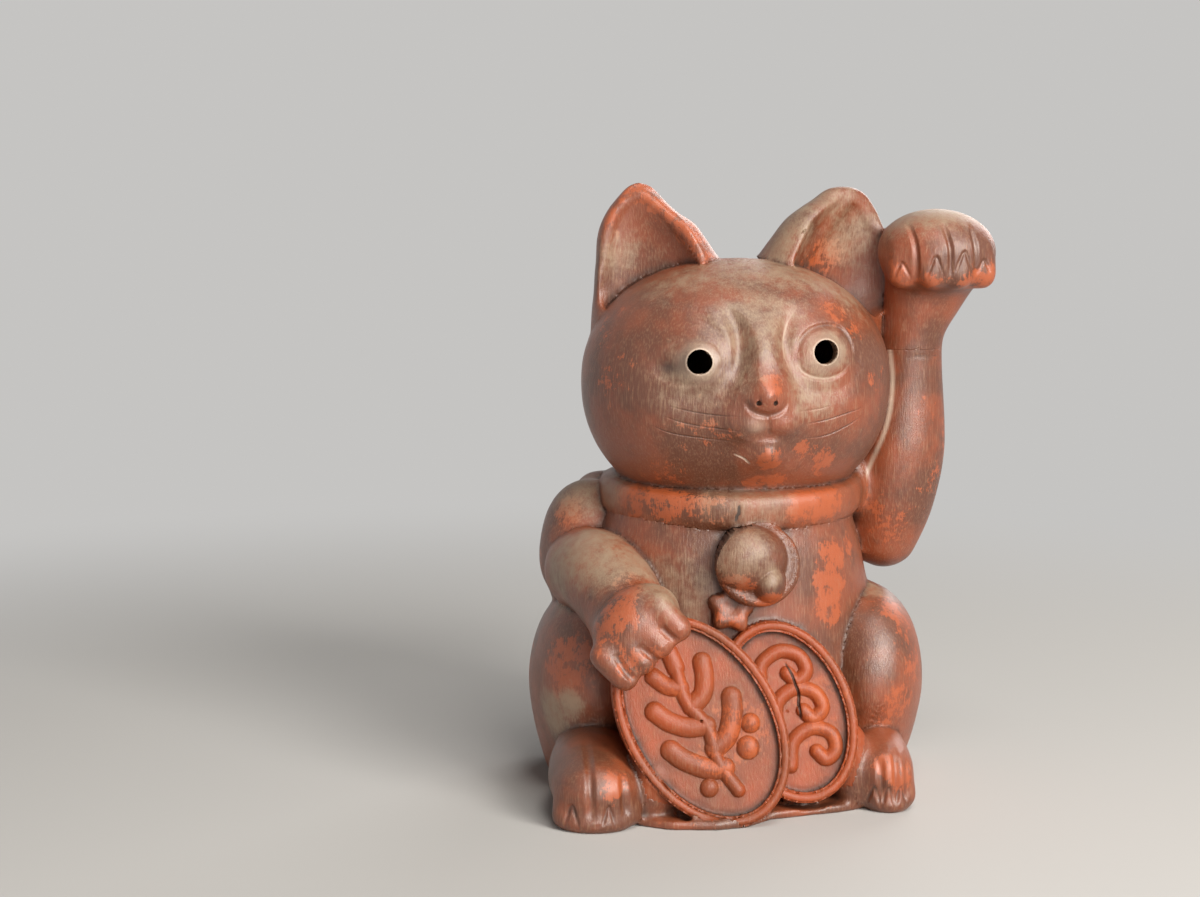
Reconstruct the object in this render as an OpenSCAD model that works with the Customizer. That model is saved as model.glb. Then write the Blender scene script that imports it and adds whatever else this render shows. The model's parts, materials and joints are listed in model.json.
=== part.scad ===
// Seated lucky cat figurine in burnished red stoneware, hollow and open underneath.
// Millimetres, Z up, the cat faces minus Y; the origin is on the floor under the middle of the figure.

/* [Torso] */
// Height of the flat joint between the torso and the head
neck_z = 149; // [140:1:156]
// Width of the torso at the hips
torso_w = 158; // [142:1:172]
// Depth of the torso at the hips
torso_d = 148; // [134:1:166]
// Width of the neck at the joint
neck_w = 100; // [92:1:108]
// Depth of the neck at the joint
neck_d = 86; // [80:1:92]
// Wall thickness of the pressed clay
wall = 7; // [5:0.5:9]

/* [Head] */
// Width over the cheeks
head_w = 152; // [138:1:168]
// Depth from brow to nape
head_d = 124; // [114:1:134]
// Height of the middle of the head above the neck joint
head_up = 51; // [49:0.5:53]
// Height of the skull above its middle
crown_h = 60; // [56:1:64]
// Turn of the head to its own left
head_turn = 5; // [0:1:8]
// Bore of the pierced eyes
eye_d = 12; // [8:0.5:14]
// Distance of each eye from the middle of the face
eye_x = 30; // [27:0.5:33]
// Height of the eyes above the middle of the head
eye_z = 15; // [12:0.5:18]
// How much higher the left eye sits than the right one
eye_step = 4; // [0:0.5:6]
// Projection of the nose
nose_out = 12; // [8:0.5:14]
// Projection of the muzzle
muzzle_out = 9; // [6:0.5:11]

/* [Ears] */
// Height of the ear tips above the middle of the head
ear_h = 97; // [86:1:110]
// Width of an ear at its root
ear_w = 72; // [62:1:80]
// Depth of an ear at its root
ear_d = 58; // [50:1:66]
// Outward turn of the hollow of each ear
ear_turn = 24; // [10:1:32]
// Rim left round the hollow of each ear
ear_rim = 6; // [4:0.5:8]

/* [Collar] */
// How far the collar stands out of the neck
collar_out = 15.5; // [13:0.5:18]
// Height of the collar band
collar_h = 18; // [15:0.5:21]
// Diameter of the bell
bell_d = 41; // [36:0.5:46]
// Diameter of the star knot under the bell
knot_d = 19; // [16:0.5:21]

/* [Raised arm] */
// Height of the lower end of the raised arm
elbow_z = 104; // [98:1:110]
// Thickness of the raised arm at its middle
arm_w = 46; // [40:1:52]
// Thickness of the wrist
wrist_w = 26; // [23:0.5:29]
// Height of the joint at the wrist
wrist_z = 215; // [209:1:221]
// Width of the raised paw
wave_w = 60; // [54:1:66]

/* [Lowered arm] */
// Thickness of the lowered forearm
forearm_w = 42; // [37:1:47]
// How far the lowered shoulder stands out of the torso
shoulder_out = 23; // [19:0.5:26]
// Width of the lowered paw
paw_w = 52; // [46:1:56]

/* [Legs] */
// How far each haunch stands out of the torso
haunch_out = 19.5; // [15:0.5:24]
// Height of the haunches
haunch_h = 99; // [90:1:106]
// Width of a hind paw
hind_w = 43; // [38:1:48]
// Height of the hind paws
hind_h = 38; // [34:1:42]
// Height of the foot of clay in front
foot_h = 9; // [6:1:12]
// Thickness of the tail
tail_w = 24; // [20:1:27]

/* [Coins] */
// Long side of the large coin
coin_l = 105; // [96:1:114]
// Short side of the large coin
coin_w = 72; // [64:1:80]
// Long side of the small coin
second_l = 88; // [80:1:97]
// Short side of the small coin
second_w = 62; // [56:1:68]
// Thickness of a coin
coin_t = 13; // [11:0.5:15]
// Width of the raised rim of a coin
rim_w = 5; // [4:0.5:6]
// Depth of the field of a coin below its rim
rim_h = 3; // [2:0.5:4]
// Lean of the coins against the belly
coin_lean = 12; // [8:1:16]
// Tilt of the large coin to the cat's right
coin_tilt = 31; // [25:1:38]
// Tilt of the small coin to the cat's right
second_tilt = 20; // [14:1:27]

/* [Hidden] */
// Columns round the torso, the head, the limbs and the paws
torso_n = 32;
head_n = 40;
limb_n = 20;
paw_n = 24;
// How far the rings of the head crowd towards the nose and the nape
closer = 1.2;
// Small step used for the direction of a limb
tiny = 0.02;
// Squareness of the ovals of the torso, the head and the haunches
torso_p = 2.3;
head_p = 2.15;
haunch_p = 2.1;

// Middle of the head
head_at = [head_w * 0.02, -head_d * 0.16, neck_z + head_up];
// Face drawn for a head of this width
face_k = head_w / 152;

// Height of an eye: the right one for minus, the left one for plus
function eye_up(s) = eye_z + sign(s) * eye_step / 2;

// Depth of the ears behind the middle of the head, and the rounding of their tips
ear_y = head_d * 0.06;
ear_tip = ear_d * 0.12;
// Stations up each ear in the head's own place: middle, half width, half depth
right_ear_rows = [
    [-head_w * 0.232, ear_y, ear_h * 0.28, ear_w * 0.5, ear_d * 0.5],
    [-head_w * 0.24, ear_y, ear_h * 0.464, ear_w * 0.47, ear_d * 0.47],
    [-head_w * 0.272, ear_y, ear_h * 0.65, ear_w * 0.405, ear_d * 0.4],
    [-head_w * 0.297, ear_y, ear_h * 0.75, ear_w * 0.34, ear_d * 0.31],
    [-head_w * 0.309, ear_y, ear_h * 0.85, ear_w * 0.243, ear_d * 0.21],
    [-head_w * 0.309, ear_y, ear_h - ear_tip, ear_w * 0.13, ear_tip]
];
left_ear_rows = [
    [head_w * 0.272, ear_y, ear_h * 0.28, ear_w * 0.52, ear_d * 0.5],
    [head_w * 0.291, ear_y, ear_h * 0.464, ear_w * 0.505, ear_d * 0.47],
    [head_w * 0.331, ear_y, ear_h * 0.65, ear_w * 0.458, ear_d * 0.4],
    [head_w * 0.357, ear_y, ear_h * 0.75, ear_w * 0.395, ear_d * 0.31],
    [head_w * 0.379, ear_y, ear_h * 0.85, ear_w * 0.3, ear_d * 0.21],
    [head_w * 0.386, ear_y, ear_h * 0.98 - ear_tip, ear_w * 0.2, ear_tip]
];

// Stations up the torso: height, shift in Y, half width, half depth
torso_rows = [
    [0, torso_d * 0.013, torso_w * 0.494, torso_d * 0.486],
    [neck_z * 0.14, torso_d * 0.013, torso_w * 0.506, torso_d * 0.5],
    [neck_z * 0.34, torso_d * 0.013, torso_w * 0.5, torso_d * 0.5],
    [neck_z * 0.54, 0, torso_w * 0.475, torso_d * 0.48],
    [neck_z * 0.71, -torso_d * 0.027, torso_w * 0.443, torso_d * 0.453],
    [neck_z * 0.84, -torso_d * 0.061, torso_w * 0.411, torso_d * 0.412],
    [neck_z * 0.94, head_at[1] * 0.75, neck_w * 0.59, neck_d * 0.605],
    [neck_z, head_at[1] * 0.9, neck_w * 0.5, neck_d * 0.5]
];
// Place of the torso's surface at a height: forward for minus one, backward for one
function torso_y(z, s) =
    let (row = row_at(torso_rows, lookup(z, [for (i = [0:len(torso_rows) - 1]) [torso_rows[i][0], i]])))
    row[1] + s * row[3];
// Half width of the torso at a height
function torso_x(z) =
    row_at(torso_rows, lookup(z, [for (i = [0:len(torso_rows) - 1]) [torso_rows[i][0], i]]))[2];

// Half thickness of the collar band, its middle and its forward tip
collar_t = collar_out * 0.45;
collar_at = [head_at[0] * 0.6, head_at[1] * 0.7, neck_z - collar_h * 0.22];
collar_tip = 4;
// Middle of the bell and of the star knot, and the upward tip of the bell on the sloping chest
bell_z = neck_z * 0.785;
bell_tip = 18;
knot_z = bell_z - bell_d * 0.52;
bell_at = [head_at[0] + bell_d * 0.1, torso_y(bell_z, -1) - bell_d * 0.1, bell_z];
knot_at = [-bell_d * 0.13, torso_y(knot_z, -1) - knot_d * 0.15, knot_z];

// Middle of each haunch, as deep in the torso as it stands out
haunch_w = haunch_out * 3.18;
haunch_x = torso_w / 2 + haunch_out - haunch_w / 2;
haunch_span = torso_w + 2 * haunch_out;
// Stations up a haunch: height, shift in Y, half width, half depth
haunch_rows = [
    [0, torso_d * 0.027, haunch_w * 0.32, torso_d * 0.28],
    [haunch_h * 0.1, torso_d * 0.013, haunch_w * 0.38, torso_d * 0.34],
    [haunch_h * 0.28, -torso_d * 0.013, haunch_w * 0.455, torso_d * 0.385],
    [haunch_h * 0.5, -torso_d * 0.047, haunch_w * 0.5, torso_d * 0.405],
    [haunch_h * 0.7, -torso_d * 0.081, haunch_w * 0.46, torso_d * 0.358],
    [haunch_h * 0.86, -torso_d * 0.108, haunch_w * 0.36, torso_d * 0.277],
    [haunch_h * 0.96, -torso_d * 0.122, haunch_w * 0.21, torso_d * 0.17],
    [haunch_h, -torso_d * 0.122, haunch_w * 0.07, torso_d * 0.055]
];

// Height of the middle of a coin that stands on the floor
function coin_z(long, short, tilt) =
    norm([long / 2 * cos(tilt), short / 2 * sin(tilt)]) * cos(coin_lean) + coin_t * 0.06;
// Middle of the face of each coin
first_z = coin_z(coin_l, coin_w, coin_tilt);
second_z = coin_z(second_l, second_w, second_tilt) + foot_h * 0.65;
second_at = [second_w * 0.345, torso_y(second_z, -1) - coin_t * 0.95, second_z];
first_at = [-coin_w * 0.303, second_at[1] - coin_t * 1.3, first_z];
// Length of the wad of clay behind the large coin
wad_l = coin_t * 2.3;

// Middle of the raised arm at its lower end, sunk in the torso
arm_x = torso_w * 0.375 + arm_w / 2;
arm_h = wrist_z - elbow_z;
// Stations up the raised arm: place, half width, half depth
raised_rows = [
    [arm_x, arm_w * 0.09, elbow_z + arm_h * 0.156, arm_w * 0.41, arm_w * 0.42],
    [arm_x + arm_w * 0.065, arm_w * 0.065, elbow_z + arm_h * 0.303, arm_w * 0.478, arm_w * 0.5],
    [arm_x + arm_w * 0.15, arm_w * 0.02, elbow_z + arm_h * 0.532, arm_w * 0.5, arm_w * 0.522],
    [arm_x + arm_w * 0.195, -arm_w * 0.02, elbow_z + arm_h * 0.752, arm_w * 0.435, arm_w * 0.457],
    [arm_x + arm_w * 0.22, -arm_w * 0.087, elbow_z + arm_h * 0.927, wrist_w * 0.65, wrist_w * 0.68],
    [arm_x + arm_w * 0.24, -arm_w * 0.13, elbow_z + arm_h * 1.083, wrist_w * 0.63, wrist_w * 0.65],
    [arm_x + arm_w * 0.35, -arm_w * 0.2, elbow_z + arm_h * 1.26, wrist_w * 0.82, wrist_w * 0.72],
    [arm_x + arm_w * 0.44, -arm_w * 0.26, elbow_z + arm_h * 1.38, wrist_w * 0.95, wrist_w * 0.8]
];
// Middle of the raised paw
wave_at = [arm_x + arm_w * 0.44, -wave_w * 0.27, wrist_z + wave_w * 0.78];

// Outer side of the lowered shoulder
shoulder_x = -torso_x(neck_z * 0.7) - shoulder_out;
// Stations down the lowered shoulder
shoulder_rows = [
    [shoulder_x + forearm_w * 0.76, forearm_w * 0.2, neck_z * 0.905, forearm_w * 0.4, forearm_w * 0.5],
    [shoulder_x + forearm_w * 0.68, forearm_w * 0.07, neck_z * 0.86, forearm_w * 0.57, forearm_w * 0.64],
    [shoulder_x + forearm_w * 0.57, -forearm_w * 0.1, neck_z * 0.74, forearm_w * 0.57, forearm_w * 0.66],
    [shoulder_x + forearm_w * 0.58, -forearm_w * 0.2, neck_z * 0.66, forearm_w * 0.48, forearm_w * 0.57]
];
// Middle of the lowered paw, on the rim of the large coin
paw_at = first_at + [-coin_l * 0.31, coin_t * 0.3, coin_l * 0.405];
// Elbow and wrist of the lowered forearm
elbow_at = [shoulder_x + forearm_w * 0.53, -forearm_w * 0.62, neck_z * 0.725];
hand_at = paw_at + [0, paw_w * 0.2, -paw_w * 0.04];
// Stations along the lowered forearm
forearm_rows = [
    [each elbow_at, forearm_w * 0.5, forearm_w * 0.5],
    [each (elbow_at * 0.62 + hand_at * 0.38 + forearm_w * [0, 0, 0.17]), each forearm_w * [0.5, 0.5]],
    [each (elbow_at * 0.22 + hand_at * 0.78 + forearm_w * [0.06, 0, 0.1]), each forearm_w * [0.48, 0.48]],
    [each hand_at, forearm_w * 0.43, forearm_w * 0.43]
];

// Stations along the tail
tail_rows = [
    [torso_w * 0.24, torso_d * 0.42, tail_w * 0.58, tail_w * 0.42, tail_w * 0.5],
    [torso_w * 0.09, torso_d * 0.534, tail_w * 0.58, tail_w * 0.5, tail_w * 0.58],
    [-torso_w * 0.076, torso_d * 0.54, tail_w * 0.62, tail_w * 0.5, tail_w * 0.58],
    [-torso_w * 0.2, torso_d * 0.486, tail_w * 0.75, tail_w * 0.38, tail_w * 0.42]
];

// Shift that brings the middle of the figure over the origin
right_end = wave_at[0] + wave_w / 2;
front_end = -torso_d * 0.685 - hind_h * 0.42;
back_end = torso_d * 0.545 + tail_w * 0.6;
shift = [haunch_span / 4 - right_end / 2, -(front_end + back_end) / 2, 0];

// Every piece, in the order of assembly
// Piece to draw, or all of them

// Unit vector
function unit(v) = v / norm(v);
// Signed power that squares off an oval
function squared(v, p) = sign(v) * pow(abs(v), 2 / p);
// Smooth curve through the rows of a table, at row number t
function row_at(rows, t) =
    let (last = len(rows) - 1,
        i = max(0, min(floor(t), last - 1)),
        f = t - i,
        a = rows[max(i - 1, 0)],
        b = rows[i],
        c = rows[i + 1],
        d = rows[min(i + 2, last)])
    b + 0.5 * f * (c - a + f * (2 * a - 5 * b + 4 * c - d + f * (3 * b - 3 * c + d - a)));
// Soft round bump of one unit height
function bump(x, z, x0, z0, wx, wz) = exp(-pow((x - x0) / wx, 2) - pow((z - z0) / wz, 2));

// Closed skin over a stack of rings
module skin(rings) {
    m = len(rings);
    n = len(rings[0]);
    sides = [for (j = [0:m - 2], k = [0:n - 1])
        let (a = j * n + k, b = j * n + (k + 1) % n)
        each [[a, b + n, b], [a, a + n, b + n]]];
    low = [for (k = [0:n - 1]) k];
    high = [for (k = [n - 1:-1:0]) (m - 1) * n + k];
    polyhedron([for (r = rings) each r], concat(sides, [low, high]), convexity = 8);
}

// Closed ring of sections
module hoop(rings) {
    m = len(rings);
    n = len(rings[0]);
    sides = [for (j = [0:m - 1], k = [0:n - 1])
        let (a = j * n + k, b = j * n + (k + 1) % n,
            c = (j + 1) % m * n + k, d = (j + 1) % m * n + (k + 1) % n)
        each [[a, b, d], [a, d, c]]];
    polyhedron([for (r = rings) each r], sides, convexity = 8);
}

// Closed solid between an outer and an inner patch of the same grid
module patch(outer, inner) {
    m = len(outer);
    n = len(outer[0]);
    s = m * n;
    cells = [for (j = [0:m - 2], k = [0:n - 2])
        let (a = j * n + k)
        each [[a, a + n + 1, a + 1], [a, a + n, a + n + 1],
            [s + a, s + a + 1, s + a + n + 1], [s + a, s + a + n + 1, s + a + n]]];
    ends = [for (k = [0:n - 2])
        let (a = (m - 1) * n + k)
        each [[k, k + 1, s + k + 1], [k, s + k + 1, s + k],
            [a, s + a + 1, a + 1], [a, s + a, s + a + 1]]];
    edges = [for (j = [0:m - 2])
        let (a = j * n, b = j * n + n - 1)
        each [[a, s + a + n, a + n], [a, s + a, s + a + n],
            [b, b + n, s + b + n], [b, s + b + n, s + b]]];
    polyhedron(concat([for (r = outer) each r], [for (r = inner) each r]),
        concat(cells, ends, edges), convexity = 10);
}

// Level oval of the torso or a haunch, drawn in by the inset
function level(row, inset, p, angles) =
    [for (t = angles) [max(row[2] - inset, 1) * squared(cos(t), p),
        row[1] + max(row[3] - inset, 1) * squared(sin(t), p), row[0]]];
// Stack of level ovals
function stack(rows, steps, inset, p, angles) =
    [for (i = [0:steps]) level(row_at(rows, (len(rows) - 1) * i / steps), inset, p, angles)];

// Direction of a limb at row number t
function limb_way(rows, t) =
    let (a = row_at(rows, t - tiny), b = row_at(rows, t + tiny))
    unit([b[0] - a[0], b[1] - a[1], b[2] - a[2]]);
// One ring of a limb, moved along the limb and shrunk
function limb_ring(row, way, side, move, shrink) =
    let (s = unit(side - way * (side * way)), u = cross(way, s))
    [for (k = [0:limb_n - 1])
        let (t = 360 * k / limb_n)
        [row[0], row[1], row[2]] + way * move + s * row[3] * shrink * cos(t) + u * row[4] * shrink * sin(t)];
// Rings of a limb with a dome on each end
function limb(rows, steps, side) =
    let (last = len(rows) - 1,
        a = rows[0],
        b = rows[last],
        ra = min(a[3], a[4]),
        rb = min(b[3], b[4]))
    concat(
        [for (t = [86, 60, 32]) limb_ring(a, limb_way(rows, 0), side, -ra * sin(t), cos(t))],
        [for (i = [0:steps])
            limb_ring(row_at(rows, last * i / steps), limb_way(rows, last * i / steps), side, 0, 1)],
        [for (t = [32, 60, 86]) limb_ring(b, limb_way(rows, last), side, rb * sin(t), cos(t))]);

// How far the face stands out of the plain skull at a place on the front
function face_out(x, z) =
    nose_out * bump(x, z, 0, -2, 10, 9)
    + nose_out * 0.5 * bump(x, z, 0, 18, 10, 20)
    + muzzle_out * 0.7 * bump(x, z, 0, -14, 24, 16)
    + muzzle_out * 0.5 * bump(abs(x), z, 8, -17, 9, 8)
    + muzzle_out * 0.7 * bump(x, z, 0, -35, 12, 9)
    + face_k * (3 * bump(abs(x), z, 52, -20, 18, 22)
        - 3.5 * bump(abs(x), z, 14, eye_up(x) / face_k + 1, 7, 18)
        - 2.5 * bump(abs(x), z, eye_x / face_k + 4, eye_up(x) / face_k - 14, 16, 8)
        + 3 * bump(abs(x), z, eye_x / face_k - 1, eye_up(x) / face_k + 1, 13, 11)
        + 3 * bump(abs(x), z, 30, 42, 22, 10));
// Point of the skull: zero degrees is the nose, a half turn is the nape
function head_point(lat, lon, inset) =
    let (high = lon > 0 && lon < 180 ? crown_h : crown_h * 1.1,
        x = (head_w / 2 - inset) * squared(sin(lat), head_p) * squared(cos(lon), head_p),
        z = (high - inset) * squared(sin(lat), head_p) * squared(sin(lon), head_p),
        y = -(head_d / 2 - inset) * squared(cos(lat), head_p),
        out = lat < 84 && inset == 0 ? face_out(x / face_k, z / face_k) * cos(lat * 0.95) : 0)
    [x, y - out, z];
// Rings of the skull from one angle to another, running round one way or the other
function head_rings(from, to, steps, inset, way) =
    [for (i = [0:steps])
        let (lat = from + (to - from) * pow(i / steps, closer))
        [for (k = [0:head_n - 1]) head_point(lat, 180 + way * (360 * k / head_n - 180), inset)]];

// Puts a piece that was drawn about the torso's axis into the part's own frame
module place() {
    translate(shift)
        children();
}

// Puts the children in the head's own place and turn
module on_head() {
    translate(head_at)
        rotate([0, 0, head_turn])
            children();
}

// Solid torso, used to fit the pieces that are pressed on it
module torso_form() {
    skin(stack(torso_rows, 12, 0, torso_p, [for (k = [0:torso_n - 1]) 360 * k / torso_n]));
}

// Half of the hollow torso, from one side seam to the other
module torso_half(from) {
    angles = [for (k = [0:torso_n / 2]) from + 360 * k / torso_n];
    patch(stack(torso_rows, 12, 0, torso_p, angles), stack(torso_rows, 12, wall, torso_p, angles));
}

// Room under the floor, which trims the coins to stand flat
module under_floor() {
    translate([-200, -200, -100])
        cube([400, 400, 100]);
}

// Room under the neck joint, which trims the head
module under_neck() {
    translate([-200, -200, neck_z - 200])
        cube([400, 400, 200]);
}

// Solid head, used to fit the pieces that are pressed on it
module head_form() {
    difference() {
        on_head()
            skin(concat(head_rings(1, 90, 23, 0, -1), head_rings(100, 179, 8, 0, -1)));
        under_neck();
    }
}

// Bores of the eyes and the nostrils
module face_holes() {
    for (s = [-1, 1]) {
        translate([s * eye_x, 0, eye_up(s)])
            rotate([90, 0, 0])
                cylinder(h = head_d, d = eye_d, $fn = 32);
        translate([s * eye_d * 0.33, -head_d / 2 - nose_out * 0.66, -eye_d / 2])
            rotate([70, 0, 0])
                cylinder(h = nose_out, d = eye_d * 0.25, $fn = 16);
    }
}

// Outer form of an ear, on the right for minus one and on the left for one
module ear_form(s) {
    on_head()
        skin(limb(s < 0 ? right_ear_rows : left_ear_rows, 10, [cos(ear_turn), s * sin(ear_turn), 0]));
}

// Hollow of an ear: each station is narrower by the rim and set forward until its edge meets the outer face
module ear_hollow(s) {
    rows = s < 0 ? right_ear_rows : left_ear_rows;
    ahead = [s * sin(ear_turn), -cos(ear_turn), 0];
    on_head()
        skin(limb([for (i = [1:len(rows) - 1])
            let (row = rows[i],
                narrow = 1 - ear_rim / row[3],
                middle = [row[0], row[1], row[2]] + ahead * row[4] * sqrt(1 - narrow * narrow))
            [each middle, row[3] - ear_rim, row[4] * 0.55]], 8, [cos(ear_turn), s * sin(ear_turn), 0]));
}

// Band of the collar all round
module collar_form() {
    half = [neck_w / 2 + collar_out - collar_t, neck_d / 2 + collar_out * 1.1 - collar_t];
    translate(collar_at)
        rotate([collar_tip, 0, 0])
            hoop([for (j = [0:torso_n - 1])
                let (t = 360 * j / torso_n, way = unit([cos(t) * half[1], sin(t) * half[0], 0]))
                [for (k = [0:11])
                    let (u = 30 * k)
                    [half[0] * cos(t), half[1] * sin(t), 0]
                        + way * collar_t * squared(cos(u), 2.8)
                        + [0, 0, collar_h / 2 * squared(sin(u), 2.8)]]]);
}

// Round bell: a dome on a raised band, sunk in the chest and set a little high on its band
module bell_form() {
    translate(bell_at)
        rotate([90 - bell_tip, 0, 0]) {
            rotate_extrude($fn = 40)
                polygon(bell_d * [[0, -0.36], [0.36, -0.25], [0.46, -0.1], [0.5, 0], [0.49, 0.06],
                    [0.45, 0.1], [0.4, 0.09], [0, 0.08]]);
            translate(bell_d * [-0.06, 0.05, 0])
                ball(bell_d * [0.41, 0.4, 0.36]);
        }
}

// Star knot with five soft points and a dimple: height and share of the width of each level
knot_rows = [[-0.2, 0.9], [0, 1], [0.12, 0.95], [0.2, 0.76], [0.21, 0.45], [0.16, 0.12]];
module knot_form() {
    translate(knot_at)
        rotate([90 - bell_tip, 0, 0])
            skin([for (row = knot_rows)
                [for (k = [0:29])
                    let (r = knot_d / 2 * row[1] * (0.85 + 0.15 * row[1] * cos(60 * k - 60)))
                    [r * cos(12 * k), r * sin(12 * k), knot_d * row[0]]]]);
}

// Whole raised arm up into the paw
module raised_form() {
    skin(limb(raised_rows, 16, [1, 0, 0]));
}

// Room above the joint at the wrist
module over_wrist() {
    translate([0, -100, wrist_z])
        cube([200, 200, 100]);
}

// Rounded body of a paw with half sizes
module ball(half) {
    skin([for (j = [0:10])
        let (t = -86 + 172 * j / 10)
        [for (k = [0:paw_n - 1])
            let (u = 360 * k / paw_n)
            [half[0] * cos(t) * cos(u), half[1] * cos(t) * sin(u), half[2] * sin(t)]]]);
}

// One toe between two places
module toe(from, to, r1, r2) {
    hull() {
        translate(from)
            sphere(r = r1, $fn = 14);
        translate(to)
            sphere(r = r2, $fn = 14);
    }
}

// Raised paw, plump and bent forward, with its toes side by side along the front
module raised_paw_form() {
    translate(wave_at)
        ball([wave_w / 2, wave_w / 2, wave_w * 0.367]);
    for (i = [-1.5:1.5])
        toe(wave_at + wave_w * [i * 0.2, 0.11 * abs(i) - 0.385, 0.03],
            wave_at + wave_w * [i * 0.21, 0.11 * abs(i) - 0.415, -0.16], wave_w * 0.14, wave_w * 0.135);
}

// Bulge of the lowered shoulder
module shoulder_form() {
    skin(limb(shoulder_rows, 8, [1, 0, 0]));
}

// Lowered forearm
module forearm_form() {
    skin(limb(forearm_rows, 10, [1, 0, 0]));
}

// Lowered paw lying on the rim of the large coin
module front_paw_form() {
    translate(paw_at + paw_w * [0.05, 0, 0.03])
        rotate([0, -42, 0])
            ball(paw_w * [0.44, 0.327, 0.34]);
    for (i = [-1.5:1.5])
        toe(paw_at + paw_w * [i * 0.154 - 0.01, -0.17, i * 0.142 + 0.02],
            paw_at + paw_w * [i * 0.154 + 0.165, -0.235, i * 0.142 - 0.165], paw_w * 0.14, paw_w * 0.125);
}

// Oval plate of a coin with a raised rim, lying flat with its face up
module coin_plate(long, short) {
    difference() {
        translate([0, 0, -coin_t])
            linear_extrude(coin_t)
                oval(long / 2, short / 2);
        translate([0, 0, -rim_h])
            linear_extrude(coin_t)
                oval(long / 2 - rim_w, short / 2 - rim_w);
    }
}

// Oval outline with its long side along Y
module oval(a, b) {
    polygon([for (k = [0:47]) [b * cos(7.5 * k), a * sin(7.5 * k)]]);
}

// Stands a coin up in its place
module stand(at, tilt) {
    translate(at)
        rotate([-coin_lean, 0, 0])
            rotate([90, 0, 0])
                rotate([0, 0, tilt])
                    children();
}

// Solid outline of the small coin
module second_form() {
    stand(second_at, second_tilt)
        translate([0, 0, -coin_t])
            linear_extrude(coin_t)
                oval(second_l / 2, second_w / 2);
}

// Wad of clay behind the large coin
module wad() {
    translate([0, 0, -coin_t - wad_l])
        linear_extrude(wad_l + coin_t / 3)
            oval(coin_l / 2 - rim_w, coin_w / 2 - rim_w);
}

// Solid outline of the large coin with the wad of clay behind it
module first_form() {
    stand(first_at, coin_tilt) {
        translate([0, 0, -coin_t])
            linear_extrude(coin_t)
                oval(coin_l / 2, coin_w / 2);
        wad();
    }
}

// Haunch as one rounded mass
module haunch_form(s) {
    translate([s * haunch_x, 0, 0])
        skin(stack(haunch_rows, 12, 0, haunch_p, [for (k = [0:27]) 360 * k / 28]));
}

// Hind paw with its toes; the left one is set further back and half buried in the foot
module hind_form(s) {
    x = s < 0 ? -haunch_span * 0.358 : haunch_span * 0.346;
    w = s < 0 ? hind_w : hind_w * 0.74;
    y = s < 0 ? 0 : torso_d * 0.162;
    skin(limb([
        [x - s * w * 0.06, y - torso_d * 0.284, hind_h * 0.52, w * 0.44, hind_h * 0.5],
        [x - s * w * 0.02, y - torso_d * 0.432, hind_h * 0.5, w * 0.49, hind_h * 0.5],
        [x, y - torso_d * 0.568, hind_h * 0.47, w * 0.5, hind_h * 0.47],
        [x, y - torso_d * 0.685, hind_h * 0.42, w * 0.46, hind_h * 0.42]
    ], 8, [1, 0, 0]));
    for (i = [-1.5:1.5])
        toe([x + i * w * 0.2, y - torso_d * (0.69 - 0.03 * abs(i)), hind_h * 0.55],
            [x + i * w * 0.225, y - torso_d * (0.76 - 0.035 * abs(i)), hind_h * 0.18],
            w * 0.14, w * 0.15);
}

// Low foot of clay under the coins and between the hind paws
module foot_form() {
    linear_extrude(foot_h)
        scale([haunch_span, torso_d])
            polygon([[-0.26, -0.33], [-0.26, -0.7], [-0.19, -0.755], [-0.08, -0.77], [0, -0.74],
                [0.06, -0.66], [0.15, -0.62], [0.23, -0.59], [0.29, -0.55], [0.29, -0.27]]);
}

// Short tail curled against the back
module tail_form() {
    skin(limb(tail_rows, 10, [0, 0, 1]));
}

// Front half of the hollow torso, pressed in the front mould
module front_shell() {
    color("sienna")
        place()
            torso_half(180);
}

// Back half of the hollow torso
module back_shell() {
    color("peru")
        place()
            torso_half(0);
}

// Front half of the hollow head with the modelled face and the pierced eyes
module face_shell() {
    color("sienna")
        place()
            difference() {
                on_head()
                    skin(concat(head_rings(1, 90, 26, 0, -1), head_rings(90, 1, 7, wall, -1)));
                on_head()
                    face_holes();
                under_neck();
            }
}

// Back half of the hollow head
module nape_shell() {
    color("peru")
        place()
            difference() {
                on_head()
                    skin(concat(head_rings(179, 100, 8, 0, 1), [head_rings(90, 90, 1, 0, 1)[0]],
                        head_rings(90, 179, 6, wall, 1)));
                under_neck();
            }
}

// Ear pressed on the head, with its hollow
module ear(s) {
    place()
        difference() {
            ear_form(s);
            ear_hollow(s);
            head_form();
        }
}

// Right ear
module right_ear() {
    color("chocolate")
        ear(-1);
}

// Left ear
module left_ear() {
    color("chocolate")
        ear(1);
}

// Collar band laid round the neck over the joint
module collar() {
    color("orangered")
        place()
            difference() {
                collar_form();
                torso_form();
                head_form();
            }
}

// Bell under the collar
module bell() {
    color("goldenrod")
        place()
            difference() {
                bell_form();
                torso_form();
                collar_form();
            }
}

// Star knot beside the bell
module star_knot() {
    color("gold")
        place()
            difference() {
                knot_form();
                torso_form();
                bell_form();
            }
}

// Raised arm up to the joint at the wrist
module raised_arm() {
    color("indianred")
        place()
            difference() {
                raised_form();
                torso_form();
                head_form();
                collar_form();
                over_wrist();
            }
}

// Raised paw over the wrist
module raised_paw() {
    color("salmon")
        place()
            difference() {
                union() {
                    intersection() {
                        raised_form();
                        over_wrist();
                    }
                    raised_paw_form();
                }
                head_form();
                ear_form(1);
            }
}

// Shoulder of the lowered arm
module right_shoulder() {
    color("indianred")
        place()
            difference() {
                shoulder_form();
                torso_form();
                head_form();
                collar_form();
                haunch_form(-1);
            }
}

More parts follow.
